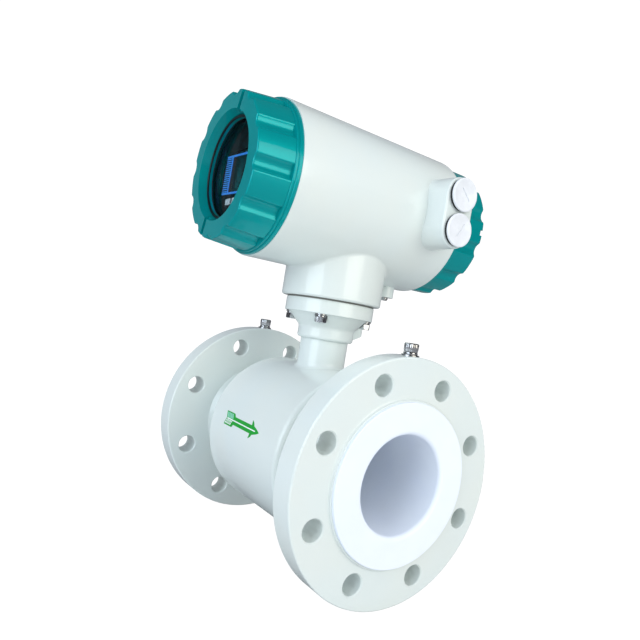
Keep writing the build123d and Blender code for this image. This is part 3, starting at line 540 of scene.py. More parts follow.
CREAM = Enamel("cream_enamel", (0.735, 0.81, 0.785), (0.755, 0.81, 0.765))
TEAL = Enamel(
    "teal_enamel", (0.0, 0.36, 0.375), (0.0, 0.39, 0.39), 0.34,
    peel_depth=0.012, coat=0.45, gloss=0.05, flake=0.45
)
LINER = Fluoropolymer("liner_plastic")
STAINLESS = Metal("stainless_steel", (0.62, 0.62, 0.63), 0.24)
CHROME = Metal("plated_screws", (0.70, 0.70, 0.72), 0.18, Working.PLATED)
BRASS = Metal("nickelled_brass", (0.72, 0.62, 0.38), 0.30, Working.DRAWN)
IRON = Metal("magnet_iron", (0.30, 0.30, 0.31), 0.46, Working.CAST)
CAN = Metal("capacitor_cans", (0.58, 0.60, 0.64), 0.30, Working.DRAWN)
INSULATOR = Moulded("insulating_plastic", (0.70, 0.66, 0.56), 0.42)
POTTING = Moulded("potting_resin", (0.030, 0.028, 0.026), 0.22, 4.0, 0.05)
SEAL = Rubber("sealing_rubber")
BLACK_RING = Moulded("black_ring", (0.006, 0.008, 0.009), 0.34, coat=0.1)
BEZEL = Moulded("bezel_plastic", (0.005, 0.006, 0.008), 0.30, coat=0.5)
PANEL = Moulded("display_pane", (0.003, 0.005, 0.005), 0.14, 30.0, 0.004, 0.5)
KEY = Moulded("key_rubber", (0.78, 0.79, 0.80), 0.50)
CHIP = Moulded("chip_resin", (0.025, 0.025, 0.027), 0.52, 0.4, 0.03)
TERMINAL = Moulded("terminal_plastic", (0.03, 0.22, 0.07), 0.40)
PLUG = Moulded("plug_plastic", (0.86, 0.89, 0.92), 0.36, coat=0.3)
BOARD = SolderMask("solder_mask")
COIL = Winding("coil_winding")
GLASS = ClearGlass("window_pane")
ARROW_GREEN = Ink("arrow_green", (0.0, 0.352, 0.022), (0.01, 0.42, 0.06))
ARROW_MINT = Ink("arrow_mint", (0.22, 0.62, 0.42), (0.40, 0.74, 0.60))
ARROW_WHITE = Ink("arrow_white", (0.86, 0.92, 0.90), (0.74, 0.88, 0.82))
# The display's frame lines: real blue print, plus a painted glow so that they show in the dark window.
FRAME_BLUE = Ink("frame_blue", (0.03, 0.20, 0.62), (0.02, 0.15, 0.50), 0.60)
GASKET = Moulded("gasket_fibre", (0.19, 0.19, 0.17), 0.62, 0.8, 0.03)


# Mesh building


@dataclass(frozen=True)
class Corner:
    """A corner of a section, in millimetres."""

    r: float
    h: float
    round: float = 0.0


def rounded(corners: Sequence[Corner], closed: bool = True, steps: int = 5) -> list[Point]:
    """Rounds the corners of a section.

    Args:
        corners: The corners in order.
        closed: Whether the last corner joins the first.
        steps: The number of steps in each arc.

    Returns:
        The section's points.
    """
    points: list[Point] = []
    count = len(corners)
    for index, corner in enumerate(corners):
        here = Vector((corner.r, corner.h))
        if corner.round <= 0 or (not closed and index in (0, count - 1)):
            points.append((corner.r, corner.h))
            continue
        before, after = corners[index - 1], corners[(index + 1) % count]
        back = Vector((before.r, before.h)) - here
        ahead = Vector((after.r, after.h)) - here
        half = back.angle(ahead) / 2
        reach = min(corner.round / math.tan(half), 0.49 * back.length, 0.49 * ahead.length)
        radius = reach * math.tan(half)
        middle = here + (back.normalized() + ahead.normalized()).normalized() * radius / math.sin(half)
        start = here + back.normalized() * reach - middle
        end = here + ahead.normalized() * reach - middle
        first = math.atan2(start.y, start.x)
        sweep = (math.atan2(end.y, end.x) - first + math.pi) % (2 * math.pi) - math.pi
        for step in range(steps + 1):
            angle = first + sweep * step / steps
            points.append((middle.x + radius * math.cos(angle), middle.y + radius * math.sin(angle)))
    return points


def axes_at(origin: Sequence[float], x_dir: Sequence[float], z_dir: Sequence[float]) -> Matrix:
    """Makes a placement from an origin and two directions.

    Args:
        origin: The origin in millimetres.
        x_dir: The direction of the local X.
        z_dir: The direction of the local Z.

    Returns:
        A 4 by 4 matrix.
    """
    x_axis, z_axis = Vector(x_dir).normalized(), Vector(z_dir).normalized()
    y_axis = z_axis.cross(x_axis)
    matrix = Matrix((x_axis, y_axis, z_axis)).transposed().to_4x4()
    matrix.translation = Vector(origin)
    return matrix


UPRIGHT = Matrix.Identity(4)


class Shape:
    """A mesh that is being built, in millimetres."""

    def __init__(self) -> None:
        """Starts with nothing."""
        self.points: list[Vector] = []
        self.faces: list[tuple[int, ...]] = []

    def skin(self, rows: Sequence[Sequence[Vector]], wrap: bool = False, close: bool = True) -> "Shape":
        """Adds quads between rows of points.

        Args:
            rows: Rows of equal length. A row of one point is a pole.
            wrap: Whether the last row joins the first.
            close: Whether each row is a closed loop.

        Returns:
            The shape itself.
        """
        starts = []
        for row in rows:
            starts.append(len(self.points))
            self.points.extend(Vector(point) for point in row)
        count = max(len(row) for row in rows)
        pairs = list(zip(range(len(rows)), range(1, len(rows)))) + ([(len(rows) - 1, 0)] if wrap else [])
        for low, high in pairs:
            for column in range(count if close else count - 1):
                following = (column + 1) % count
                low_single, high_single = len(rows[low]) == 1, len(rows[high]) == 1
                loop = [starts[low] if low_single else starts[low] + column]
                if not low_single:
                    loop.append(starts[low] + following)
                loop.append(starts[high] if high_single else starts[high] + following)
                if not high_single:
                    loop.append(starts[high] + column)
                if len(loop) > 2:
                    self.faces.append(tuple(loop))
        return self

    def cap(self, loop: Sequence[Vector]) -> "Shape":
        """Adds one flat face with its own points."""
        start = len(self.points)
        self.points.extend(Vector(point) for point in loop)
        self.faces.append(tuple(range(start, start + len(loop))))
        return self

    def lathe(
        self,
        section: Sequence[Point],
        place: Matrix = UPRIGHT,
        angles: Sequence[float] | int = 96,
        outline: Callable[[float, float], float] | None = None,
        closed: bool = True,
    ) -> "Shape":
        """Turns a section round the local Z.

        Args:
            section: Radii and heights, in order.
            place: Where the local axes are.
            angles: The angles of the sides, or how many there are.
            outline: Changes a radius at an angle, for sides that aren't round.
            closed: Whether the section is a closed loop.

        Returns:
            The shape itself.
        """
        if isinstance(angles, int):
            angles = [2 * math.pi * index / angles for index in range(angles)]
        rows = []
        for radius, height in section:
            if radius < 1e-6:
                rows.append([place @ Vector((0, 0, height))])
                continue
            row = []
            for angle in angles:
                reach = outline(radius, angle) if outline else radius
                row.append(place @ Vector((reach * math.cos(angle), reach * math.sin(angle), height)))
            rows.append(row)
        return self.skin(rows, wrap=closed)

    def loft(self, loops: Sequence[Sequence[Vector]], place: Matrix = UPRIGHT) -> "Shape":
        """Adds a closed body through loops of points, with a flat face at each end."""
        rows = [[place @ Vector(point) for point in loop] for loop in loops]
        self.skin(rows)
        return self.cap(rows[0]).cap(rows[-1])

    def box(self, size: Sequence[float], middle: Sequence[float], place: Matrix = UPRIGHT) -> "Shape":
        """Adds a block of a size round a middle point, for cuts and bars."""
        half = [side / 2 for side in size]
        corners = [(-1, -1), (1, -1), (1, 1), (-1, 1)]
        loops = []
        for level in (-1, 1):
            loops.append([
                Vector(middle) + Vector((x * half[0], y * half[1], level * half[2])) for x, y in corners
            ])
        return self.loft(loops, place)

    def thread(
        self, crest: float, root: float, pitch: float, start: float, stop: float, place: Matrix
    ) -> "Shape":
        """Adds a screw's core and the helical ridge round it.

        Args:
            crest: The radius at the ridge's top.
            root: The radius of the core.
            pitch: The height of one turn.
            start: The height where the thread starts.
            stop: The height where it ends.
            place: Where the local axes are.

        Returns:
            The shape itself.
        """
        steps, fade_steps = 48, 16
        end = start - 0.4 * pitch
        self.lathe([(0.0, end), (root, end), (root, stop), (0.0, stop)], place, steps)
        count = round(steps * (stop - start - pitch) / pitch)
        loops = []
        for step in range(count + 1):
            angle = 2 * math.pi * step / steps
            fade = min(1.0, step / fade_steps, (count - step) / fade_steps)
            top = root + (crest - root) * fade
            rise = start + pitch * (step / steps + 0.5)
            profile = ((root - 0.2, -0.46), (top, -0.08), (top, 0.08), (root - 0.2, 0.46))
            loops.append([
                Vector((radius * math.cos(angle), radius * math.sin(angle), rise + offset * pitch))
                for radius, offset in profile
            ])
        return self.loft(loops, place)

    def mesh(self, name: str, sharp: float = SHARP_ANGLE) -> bpy.types.Mesh:
        """Makes the mesh in metres, welded, facing outwards and smooth up to an angle.

        Args:
            name: The mesh's name.
            sharp: The angle in degrees above which an edge stays sharp.

        Returns:
            The new mesh.
        """
        mesh = bpy.data.meshes.new(name)
        mesh.from_pydata([point * MM for point in self.points], [], self.faces)
        work = bmesh.new()
        work.from_mesh(mesh)
        bmesh.ops.remove_doubles(work, verts=work.verts, dist=1e-7)
        bmesh.ops.recalc_face_normals(work, faces=work.faces)
        for face in work.faces:
            face.smooth = True
        work.to_mesh(mesh)
        work.free()
        mesh.set_sharp_from_angle(angle=math.radians(sharp))
        return mesh


def polygon(count: int, radius: float, turn: float = 0.0) -> list[Point]:
    """Returns the corners of a regular polygon."""
    step = 2 * math.pi / count
    return [
        (radius * math.cos(turn + step * index), radius * math.sin(turn + step * index))
        for index in range(count)
    ]


# Placing pieces


@dataclass
class SubAssembly(ABC):
    """What the sub-assemblies share: making, dressing and listing their pieces."""

    pieces: list[bpy.types.Object] = field(default_factory=list, init=False, repr=False)

    @abstractmethod
    def build(self) -> None:
        """Makes and dresses the pieces of this sub-assembly."""

    def keep(self, names: Iterable[str], finish: Finish) -> None:
        """Gives CAD nodes, whose shape is right, a better finish.

        Args:
            names: The nodes' names.
            finish: The finish that they get.
        """
        for name in names:
            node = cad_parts[name]
            node.data.materials.clear()
            node.data.materials.append(material_of(finish))
            self.pieces.append(node)

    def add(
        self,
        name: str,
        source: Shape | bpy.types.Mesh,
        finish: Finish,
        slot: str,
        body: str = "meter",
        stands_for: Sequence[str] = (),
        sharp: float = SHARP_ANGLE,
    ) -> bpy.types.Object:
        """Makes a piece of the visual model and hangs it on a body.

        Args:
            name: The piece's name.
            source: Its shape, or a finished mesh.
            finish: Its finish.
            slot: The material slot's name; not used.
            body: The body that it moves with.
            stands_for: The CAD nodes that it replaces.
            sharp: The angle in degrees above which an edge stays sharp.

        Returns:
            The new object.
        """
        mesh = source.mesh(name, sharp) if isinstance(source, Shape) else source
        piece = bpy.data.objects.new(name, mesh)
        bpy.context.scene.collection.objects.link(piece)
        mesh.materials.clear()
        mesh.materials.append(material_of(finish))
        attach(piece, body)
        if stands_for:
            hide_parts(*stands_for)
        self.pieces.append(piece)
        return piece

    def report(self) -> None:
        """Logs each piece with its number of faces."""
        for piece in self.pieces:
            LOG.info("%s: %s, %d faces", type(self).__name__, piece.name, len(piece.data.polygons))


def carved(source: Shape, cutters: Shape, name: str) -> bpy.types.Mesh:
    """Cuts one shape with another.

    Args:
        source: The closed shape that is cut.
        cutters: The closed shapes that cut it.
        name: The new mesh's name.

    Returns:
        The finished mesh.
    """
    scene = bpy.context.scene
    target = bpy.data.objects.new(name + "_target", source.mesh(name + "_target"))
    tool = bpy.data.objects.new(name + "_tool", cutters.mesh(name + "_tool"))
    for item in (target, tool):
        scene.collection.objects.link(item)
    modifier = target.modifiers.new("cut", "BOOLEAN")
    modifier.operation = "DIFFERENCE"
    modifier.solver = "EXACT"
    modifier.use_self = True
    modifier.object = tool
    graph = bpy.context.evaluated_depsgraph_get()
    mesh = bpy.data.meshes.new_from_object(target.evaluated_get(graph))
    mesh.name = name
    for item in (target, tool):
        data = item.data
        bpy.data.objects.remove(item)
        bpy.data.meshes.remove(data)
    for face in mesh.polygons:
        face.use_smooth = True
    mesh.set_sharp_from_angle(angle=math.radians(SHARP_ANGLE))
    return mesh


# Sub-assemblies


@dataclass
class PipeSection(SubAssembly):
    """The flanges, the tube between them and the liner turned out over their faces."""

    tube_r: float = 57.15
    drum_half: float = 73.0
    weld_leg: float = 3.2
    ripples: int = 150
    ripple_depth: float = 0.16

    def bead(self, radius: float, angle: float) -> float:
        """Returns the radius of the weld bead at an angle, where its ripples rise and fall."""
        if radius < self.tube_r + 0.2:
            return radius
        return radius + self.ripple_depth * abs(math.sin(self.ripples * angle / 2))

    def welds(self) -> Shape:
        """Returns the beads that join the drum's ends to the tube."""
        shape = Shape()
        leg, foot = self.weld_leg, self.tube_r - 0.1
        for side in (-1, 1):
            place = axes_at((side * (self.drum_half - 0.2), 0.0, 0.0), (0.0, 1.0, 0.0), (side, 0.0, 0.0))
            bulge = ((1.0, 0.0), (0.86, 0.36), (0.62, 0.66), (0.32, 0.88), (0.0, 1.0))
            section = [(foot, 0.0)] + [(foot + leg * out, leg * along) for out, along in bulge]
            shape.lathe(section, place, 600, self.bead)
        return shape

    def build(self) -> None:
        """Dresses the flanges, tube and liner, and welds the drum's ends to the tube."""
        self.keep(("inlet_flange", "outlet_flange", "measuring_tube"), CREAM)
        self.keep(("liner",), LINER)
        self.add("drum_weld_beads", self.welds(), CREAM, "cream_paint", sharp=50)


@dataclass
class CoilHousing(SubAssembly):
    """The drum round the tube, with the magnet and the electrodes inside it."""

    def build(self) -> None:
        """Dresses the drum and what it hides."""
        self.keep(("coil_housing",), CREAM)
        self.keep(("magnet_yoke", "upper_pole", "lower_pole"), IRON)
        self.keep(("upper_coil", "lower_coil"), COIL)
        self.keep(("electrodes", "electrode_bushes", "electrode_nuts"), STAINLESS)
        self.keep(("electrode_insulators",), INSULATOR)


@dataclass
class FlowArrow(SubAssembly):
    """The printed arrow on the drum's side, laid on its curve."""

    drum_r: float = 82.0
    tail_x: float = -39.0
    notch_x: float = -35.6
    tail_end_x: float = -21.0
    shaft_x: float = -18.2
    barb_x: float = 16.0
    tip_x: float = 34.0
    middle: float = 15.4
    tail_half: float = 7.05
    shaft_half: float = 4.1
    barb_half: float = 9.1
    barb_sweep: float = 2.6
    tail_sweep: float = 1.4
    line_half: float = 0.55
    cell_gap: float = 0.5
    bar_half: float = 0.35
    ink: float = 0.05

    def on_drum(self, x: float, arc: float, lift: float) -> Vector:
        """Returns the point at a length along the pipe and an arc length up from the drum's -Y side."""
        radius = self.drum_r + lift
        angle = arc / self.drum_r
        return Vector((x, -radius * math.cos(angle), radius * math.sin(angle)))

    def patch(self, shape: Shape, top: Sequence[Point], bottom: Sequence[Point], lift: float) -> None:
        """Adds a curved patch between a top and a bottom edge with the same lengths along the pipe.

        Args:
            shape: The shape that takes the patch.
            top: Lengths along the pipe and arcs of the top edge.
            bottom: The same for the bottom edge.
            lift: The ink's height over the drum, in millimetres.
        """
        levels = 10
        rows = []
        for level in range(levels + 1):
            share = level / levels
            rows.append([
                self.on_drum(a[0] + (b[0] - a[0]) * share, a[1] + (b[1] - a[1]) * share, lift)
                for a, b in zip(top, bottom)
            ])
        shape.skin(rows, close=False)

    def fletch(self, side: int, start: float, stop: float, inner: float, outer: float) -> tuple:
        """Returns the top and bottom edges of a slanted cell in one half of the tail.

        Args:
            side: 1 for the upper half, -1 for the lower.
            start: Where the cell starts along the pipe, at the arrow's middle.
            stop: Where it ends.
            inner: The cell's inner edge, counted from the arrow's middle.
            outer: Its outer edge.

        Returns:
            The two edges as lengths and arcs.
        """
        lean = (self.notch_x - self.tail_x) / self.tail_half
        edges = []
        for reach in (outer, inner):
            arc = self.middle + side * reach
            edges.append([(start - lean * reach, arc), (stop - lean * reach, arc)])
        return tuple(edges)

    def body(self) -> Shape:
        """Returns the green body, as strips from the outline to the arrow's middle."""
        tail, shaft = self.tail_half, self.shaft_half
        barb_root, tail_root = self.barb_x + self.barb_sweep, self.tail_end_x + self.tail_sweep
        strips = (
            ((self.tail_x, tail), (self.tail_end_x, tail), self.notch_x, tail_root),
            ((self.tail_end_x, tail), (self.shaft_x, shaft), tail_root, self.shaft_x),
            ((self.shaft_x, shaft), (barb_root, shaft), self.shaft_x, barb_root),
            ((self.barb_x, self.barb_half), (self.tip_x, 0.0), barb_root, self.tip_x),
        )
        shape = Shape()
        for side in (-1, 1):
            for start, stop, inner_start, inner_stop in strips:
                outer = [(x, self.middle + side * half) for x, half in (start, stop)]
                inner = [(x, self.middle) for x in (inner_start, inner_stop)]
                self.patch(shape, outer, inner, self.ink)
        return shape

    def tail_print(self) -> tuple[Shape, Shape, Shape]:
        """Returns the tail's mint field, the green bars on it, and the white grid of the lower half."""
        mint, bars, grid = Shape(), Shape(), Shape()
        near, far = 1.0, self.tail_half - 1.1
        first, last = self.notch_x + 1.4, self.tail_end_x + 0.2
        self.patch(mint, *self.fletch(1, first, last, near, far), self.ink * 1.4)
        for index in range(1, 4):
            place = first + (last - first) / 4 * index
            edges = self.fletch(1, place - self.bar_half, place + self.bar_half, near, far)
            self.patch(bars, *edges, self.ink * 1.8)
        columns, levels = 5, 2
        width, depth = (last - first) / columns, (self.tail_half - 2.0) / levels
        for column in range(columns):
            for level in range(levels):
                start, low = first + width * column, near + depth * level
                stop = first + width * (column + 0.62)
                edges = self.fletch(-1, start, stop, low, low + depth - self.cell_gap)
                self.patch(grid, *edges, self.ink * 1.4)
        return mint, bars, grid

    def centre_line(self) -> Shape:
        """Returns the white line along the arrow's middle, which narrows near the tip."""
        stations = (
            (self.notch_x + 1.2, self.line_half),
            (self.tip_x - 8.0, self.line_half),
            (self.tip_x - 7.4, self.line_half / 2),
        )
        top, bottom = ([(x, self.middle + side * half) for x, half in stations] for side in (1, -1))
        shape = Shape()
        self.patch(shape, top, bottom, self.ink * 2.0)
        return shape

    def build(self) -> None:
        """Prints the green body, the tail's field and grid, and the white centre line."""
        mint, bars, grid = self.tail_print()
        for name, shape, finish, slot in (
            ("flow_arrow", self.body(), ARROW_GREEN, "teal_paint"),
            ("flow_arrow_mint", mint, ARROW_MINT, "key_white"),
            ("flow_arrow_bars", bars, ARROW_GREEN, "teal_paint"),
            ("flow_arrow_grid", grid, ARROW_WHITE, "key_white"),
            ("flow_arrow_line", self.centre_line(), ARROW_WHITE, "key_white"),
        ):
            self.add(name, shape, finish, slot, sharp=60)


class HeadStyle(Enum):
    """The kinds of screw head."""

    SOCKET = "socket"
    HEXAGON = "hexagon"


def across(flats: float, angle: float) -> float:
    """Returns a hexagon's radius at an angle, from the distance across its flats."""
    sixth = math.pi / 3
    return flats / 2 / math.cos((angle + sixth / 2) % sixth - sixth / 2)


@dataclass(frozen=True)
class ScrewStack:
    """A screw over a spring washer and a flat washer. Heights count from the seat."""

    style: HeadStyle
    head_d: float
    head_height: float
    shank_d: float
    reach: float
    flat_d: float
    flat_thickness: float
    spring_d: float
    spring_thickness: float
    socket: float = 6.0
    socket_depth: float = 4.0
    knurls: int = 30
    knurl_depth: float = 0.22
    clearance: float = 0.05

    @property
    def head_seat(self) -> float:
        """The height of the head's underside."""
        return self.flat_thickness + self.spring_thickness

    def side(self, radius: float, angle: float) -> float:
        """Returns the radius of the head, socket or shank at an angle.

        Args:
            radius: The largest radius at this height.
            angle: The angle round the screw.

        Returns:
            The radius at that angle.
        """
        if self.style is HeadStyle.HEXAGON:
            return min(radius, across(self.head_d, angle)) if radius > self.shank_d / 2 + 0.5 else radius
        if radius < self.socket * 0.49:
            return radius
        if radius < self.socket * 0.6 and radius != self.shank_d / 2:
            return across(self.socket, angle)
        if radius > self.head_d / 2 - 0.45:
            return radius - self.knurl_depth * (0.5 - 0.5 * math.cos(self.knurls * angle))
        return radius

    def screw(self, shape: Shape, place: Matrix) -> None:
        """Adds the screw, with its head's chamfers and socket or hexagon."""
        seat, top = self.head_seat, self.head_seat + self.head_height
        head, shank = self.head_d / 2, self.shank_d / 2
        stem = [(0.0, -self.reach), (shank - 0.6, -self.reach), (shank, -self.reach + 0.6), (shank, seat)]
        if self.style is HeadStyle.HEXAGON:
            crown = [
                (head * 0.97, seat), (head * 1.09, seat + 0.15), (head * 1.2, seat + 0.3),
                (head * 1.2, top - 0.75), (head * 1.12, top - 0.5), (head * 1.04, top - 0.25),
                (head * 0.93, top), (head * 0.5, top - 0.03), (0.0, top - 0.03),
            ]
        else:
            socket = self.socket / 2 * 1.05
            crown = [
                (head - 0.9, seat), (head - 0.38, seat + 0.5), (head - 0.30, seat + 1.6),
                (head - 0.12, seat + 1.9), (head, top - 1.0), (head - 0.15, top - 0.75),
                (head - 0.75, top - 0.12), (head - 1.0, top), (socket * 1.28, top),
                (socket, top - 0.35), (socket, top - self.socket_depth),
                (self.socket * 0.3, top - self.socket_depth - 0.2), (0.0, top - self.socket_depth - 0.6),
            ]
        shape.lathe(stem + crown, place, 120, self.side, closed=False)

    def flat_washer(self, shape: Shape, place: Matrix) -> None:
        """Adds the stamped flat washer with its rounded and its sharp edge."""
        inner, outer, top = self.shank_d / 2 + self.clearance, self.flat_d / 2, self.flat_thickness
        section = rounded([
            Corner(inner, 0.0, 0.15), Corner(outer, 0.0, 0.15),
            Corner(outer, top, 0.45), Corner(inner, top, 0.2),
        ])
        shape.lathe(section, place, 72)

    def spring_washer(self, shape: Shape, place: Matrix) -> None:
        """Adds the split spring washer, whose cut ends stand a little apart."""
        inner, outer = self.shank_d / 2 + self.clearance, self.spring_d / 2
        low, lift = self.flat_thickness, 0.12 * self.spring_thickness
        height = self.spring_thickness - lift
        section = rounded([
            Corner(inner, 0.0, 0.1), Corner(outer, 0.0, 0.3),
            Corner(outer, height, 0.3), Corner(inner, height, 0.1),
        ], steps=3)
        first_angle, split_angle, steps = 0.9, 0.16, 72
        loops = []
        for step in range(steps + 1):
            share = step / steps
            angle = first_angle + (2 * math.pi - split_angle) * share
            turn = Vector((math.cos(angle), math.sin(angle), 0.0))
            loops.append([turn * r + Vector((0, 0, low + lift * share + rise)) for r, rise in section])
        shape.loft(loops, place)

    def equip(self, assembly: SubAssembly, kind: str, nodes: Sequence[str], places: Iterable[Matrix]) -> None:
        """Makes a set of equal screws with their washers.

        Args:
            assembly: The sub-assembly that gets the pieces.
            kind: The start of the pieces' names.
            nodes: The CAD nodes of the screws, flat washers and spring washers.
            places: Where each screw's local axes are.
        """
        shapes = (Shape(), Shape(), Shape())
        for place in places:
            for make, shape in zip((self.screw, self.flat_washer, self.spring_washer), shapes):
                make(shape, place)
        ends = ("screw_set", "flat_washer_set", "spring_washer_set")
        for end, shape, finish, node in zip(ends, shapes, (CHROME, STAINLESS, CHROME), nodes):
            assembly.add(f"{kind}_{end}", shape, finish, "stainless", stands_for=(node,))


@dataclass
class NeckJoint(SubAssembly):
    """The flange between drum and head, with its gasket, screws and wire feedthrough."""

    ring_bottom: float = 135.5
    screw_circle: float = 79.0
    screw_count: int = 4
    stack: ScrewStack = ScrewStack(
        HeadStyle.HEXAGON, head_d=10.6, head_height=5.5, shank_d=6.0, reach=27.6, flat_d=12.6,
        flat_thickness=1.6, spring_d=11.0, spring_thickness=1.6,
    )

    def build(self) -> None:
        """Dresses the neck's castings and makes its screws and washers."""
        self.keep(("neck_flange",), CREAM)
        self.keep(("neck_gasket",), GASKET)
        self.keep(("feedthrough",), POTTING)
        places = [
            axes_at((x, y, self.ring_bottom), (x, y, 0.0), (0.0, 0.0, -1.0))
            for x, y in polygon(self.screw_count, self.screw_circle / 2, math.pi / 4)
        ]
        nodes = ("neck_screws", "neck_flat_washers", "neck_spring_washers")
        self.stack.equip(self, "neck", nodes, places)


@dataclass
class ConverterHead(SubAssembly):
    """The cast housing on the neck, its covers, seals and window."""

    lip_front: float = 135.1
    trim_inner: float = 45.9
    trim_outer: float = 48.3
    trim_thickness: float = 1.6

    def trim_ring(self) -> Shape:
        """Returns the black ring that lies round the window on the cover's lip."""
        section = rounded([
            Corner(self.trim_inner, 0.05, 0.2), Corner(self.trim_outer, 0.05, 0.2),
            Corner(self.trim_outer, self.trim_thickness, 0.6),
            Corner(self.trim_inner, self.trim_thickness, 0.8),
        ])
        place = axes_at((0.0, -self.lip_front, HEAD_HEIGHT), (1.0, 0.0, 0.0), (0.0, -1.0, 0.0))
        return Shape().lathe(section, place, 144)

    def build(self) -> None:
        """Dresses the housing, covers and window, and trims the window."""
        self.add("window_trim_ring", self.trim_ring(), BLACK_RING, "seal_rubber", body="front_cover")
        self.keep(("converter_housing",), CREAM)
        self.keep(("housing_earth_screw",), STAINLESS)
        self.keep(("front_cover", "rear_cover"), TEAL)
        self.keep(("front_seal", "rear_seal", "window_gasket"), SEAL)
        self.keep(("glass_retainer",), BLACK_RING)
        self.keep(("window_glass",), GLASS)


@dataclass
class Display(SubAssembly):
    """The bezel with its pane, printed frame and keys."""

    front: float = 120.0
    reach: float = 39.4
    bar_top: float = 17.3
    bar_bottom: float = -19.0
    bar_width: float = 2.0
    line_x: float = 26.6
    line_width: float = 2.2
    tick_count: int = 16
    tick_width: float = 1.0
    lean: float = 2.1

    def build(self) -> None:
        """Dresses the display and prints its frame lines, which carry a painted glow."""
        self.keep(("display_bezel",), BEZEL)
        self.keep(("display_panel",), PANEL)
        self.keep(("menu_key", "up_key", "down_key", "enter_key"), KEY)
        self.keep(("key_switches",), CHIP)
        self.keep(("bezel_screws",), CHROME)
        self.add("display_frame_lines", self.frame_lines(), FRAME_BLUE, "teal_paint")

    def frame_lines(self) -> Shape:
        """Returns the printed frame: two bars, two upright lines and the ticks beside them."""
        lines, depth, sink = Shape(), 0.12, 0.02
        lean = math.radians(self.lean)
        place = axes_at(
            (0.0, sink - self.front, HEAD_HEIGHT), (math.cos(lean), 0.0, -math.sin(lean)), (0.0, -1.0, 0.0)
        )
        middle, height = (self.bar_top + self.bar_bottom) / 2, self.bar_top - self.bar_bottom
        for rise in (self.bar_top, self.bar_bottom):
            lines.box((2 * self.reach, self.bar_width, depth), (0.0, rise, depth / 2), place)
        tick_length = self.reach - self.line_x
        for side in (-1, 1):
            lines.box((self.line_width, height, depth), (side * self.line_x, middle, depth / 2 - sink), place)
            for tick in range(self.tick_count):
                rise = self.bar_bottom + height * (tick + 1) / (self.tick_count + 1)
                lines.box(
                    (tick_length, self.tick_width, depth),
                    (side * (self.line_x + tick_length / 2), rise, depth / 2 - sink),
                    place,
                )
        return lines


@dataclass
class Electronics(SubAssembly):
    """The boards, pillars, parts and terminals inside the head."""

    def build(self) -> None:
        """Dresses what the housing hides."""
        self.keep(("display_board", "main_board", "power_board"), BOARD)
        self.keep(("board_chips", "transformer"), CHIP)
        self.keep(("capacitors",), CAN)
        self.keep(("front_pillars", "middle_pillars", "rear_pillars"), BRASS)
        self.keep(("terminal_block",), TERMINAL)
        self.keep(("terminal_screws",), CHROME)


@dataclass
class CableEntries(SubAssembly):
    """The two blanking plugs in the cable block, with their threads and sealing washers."""

    face_x: float = 100.0
    face_y: float = 64.5
    pitch: float = 34.8
    seat: float = 3.2
    head_d: float = 32.8
    head_height: float = 2.5
    rim: float = 1.2
    dish_d: float = 28.4
    dish_depth: float = 0.15
    slot_length: float = 16.0
    slot_width: float = 1.9
    slot_depth: float = 0.9
    thread_d: float = 20.0
    thread_pitch: float = 1.5
    clearance: float = 0.1
    lead_in: float = 0.7
    reach: float = 9.0
    plugs: tuple = (("upper_plug", 1, -43.0), ("lower_plug", -1, 56.5))

    def head(self, name: str, place: Matrix, turn: float) -> bpy.types.Mesh:
        """Returns a plug's head with its rounded rim, dished face and coin slot.

        Args:
            name: The plug's name.
            place: Where the local axes are.
            turn: The slot's angle in degrees.

        Returns:
            The finished mesh.
        """
        radius, top, dish = self.head_d / 2, self.seat + self.head_height, self.dish_d / 2
        section = rounded([
            Corner(0.0, self.seat), Corner(radius, self.seat, 0.3), Corner(radius, top, self.rim),
            Corner(dish, top), Corner(dish - 0.4, top - self.dish_depth), Corner(0.0, top - self.dish_depth),
        ], closed=False)
        body = Shape().lathe(section, place, 120, closed=False)
        half, end = self.slot_width / 2, (self.slot_length - self.slot_width) / 2
        outline = []
        for side in (1, -1):
            for step in range(9):
                angle = math.radians(-90 + 22.5 * step)
                outline.append((side * (end + half * math.cos(angle)), side * half * math.sin(angle)))
        swing = Matrix.Rotation(math.radians(turn), 4, "Z")
        levels = (top - self.slot_depth, top + 1.0)
        loops = [[swing @ Vector((x, y, level)) for x, y in outline] for level in levels]
        return carved(body, Shape().loft(loops, place), name)

    def build(self) -> None:
        """Makes the plugs' heads and threads, and dresses their seals."""
        for name, side, turn in self.plugs:
            middle = (self.face_x, self.face_y, HEAD_HEIGHT + side * self.pitch / 2)
            place = axes_at(middle, (0.0, 1.0, 0.0), (1.0, 0.0, 0.0))
            head = self.head(name, place, turn)
            self.add(f"{name}_head", head, PLUG, "plug_white", body=name, stands_for=(name,))
            crest = self.thread_d / 2 - self.clearance
            root = crest - 0.61 * self.thread_pitch
            start, stop = self.lead_in - self.reach, self.seat + 0.2
            thread = Shape().thread(crest, root, self.thread_pitch, start, stop, place)
            self.add(f"{name}_thread", thread, PLUG, "plug_white", body=name, sharp=40)
        self.keep(("upper_plug_seal", "lower_plug_seal"), SEAL)


@dataclass
class EarthScrews(SubAssembly):
    """The earth screws on the flange rims, with their washers."""

    seat: float = 109.6
    flange_x: float = 132.5
    stack: ScrewStack = ScrewStack(
        HeadStyle.SOCKET, head_d=13.0, head_height=8.0, shank_d=8.0, reach=12.0, flat_d=16.0,
        flat_thickness=1.6, spring_d=12.8, spring_thickness=2.0,
    )

    def build(self) -> None:
        """Makes the knurled socket screws and their washers."""
        places = [
            axes_at((x, 0.0, self.seat), (1.0, 0.0, 0.0), (0.0, 0.0, 1.0))
            for x in (-self.flange_x, self.flange_x)
        ]
        self.stack.equip(self, "earth", ("earth_screws", "earth_washers", "earth_spring_washers"), places)


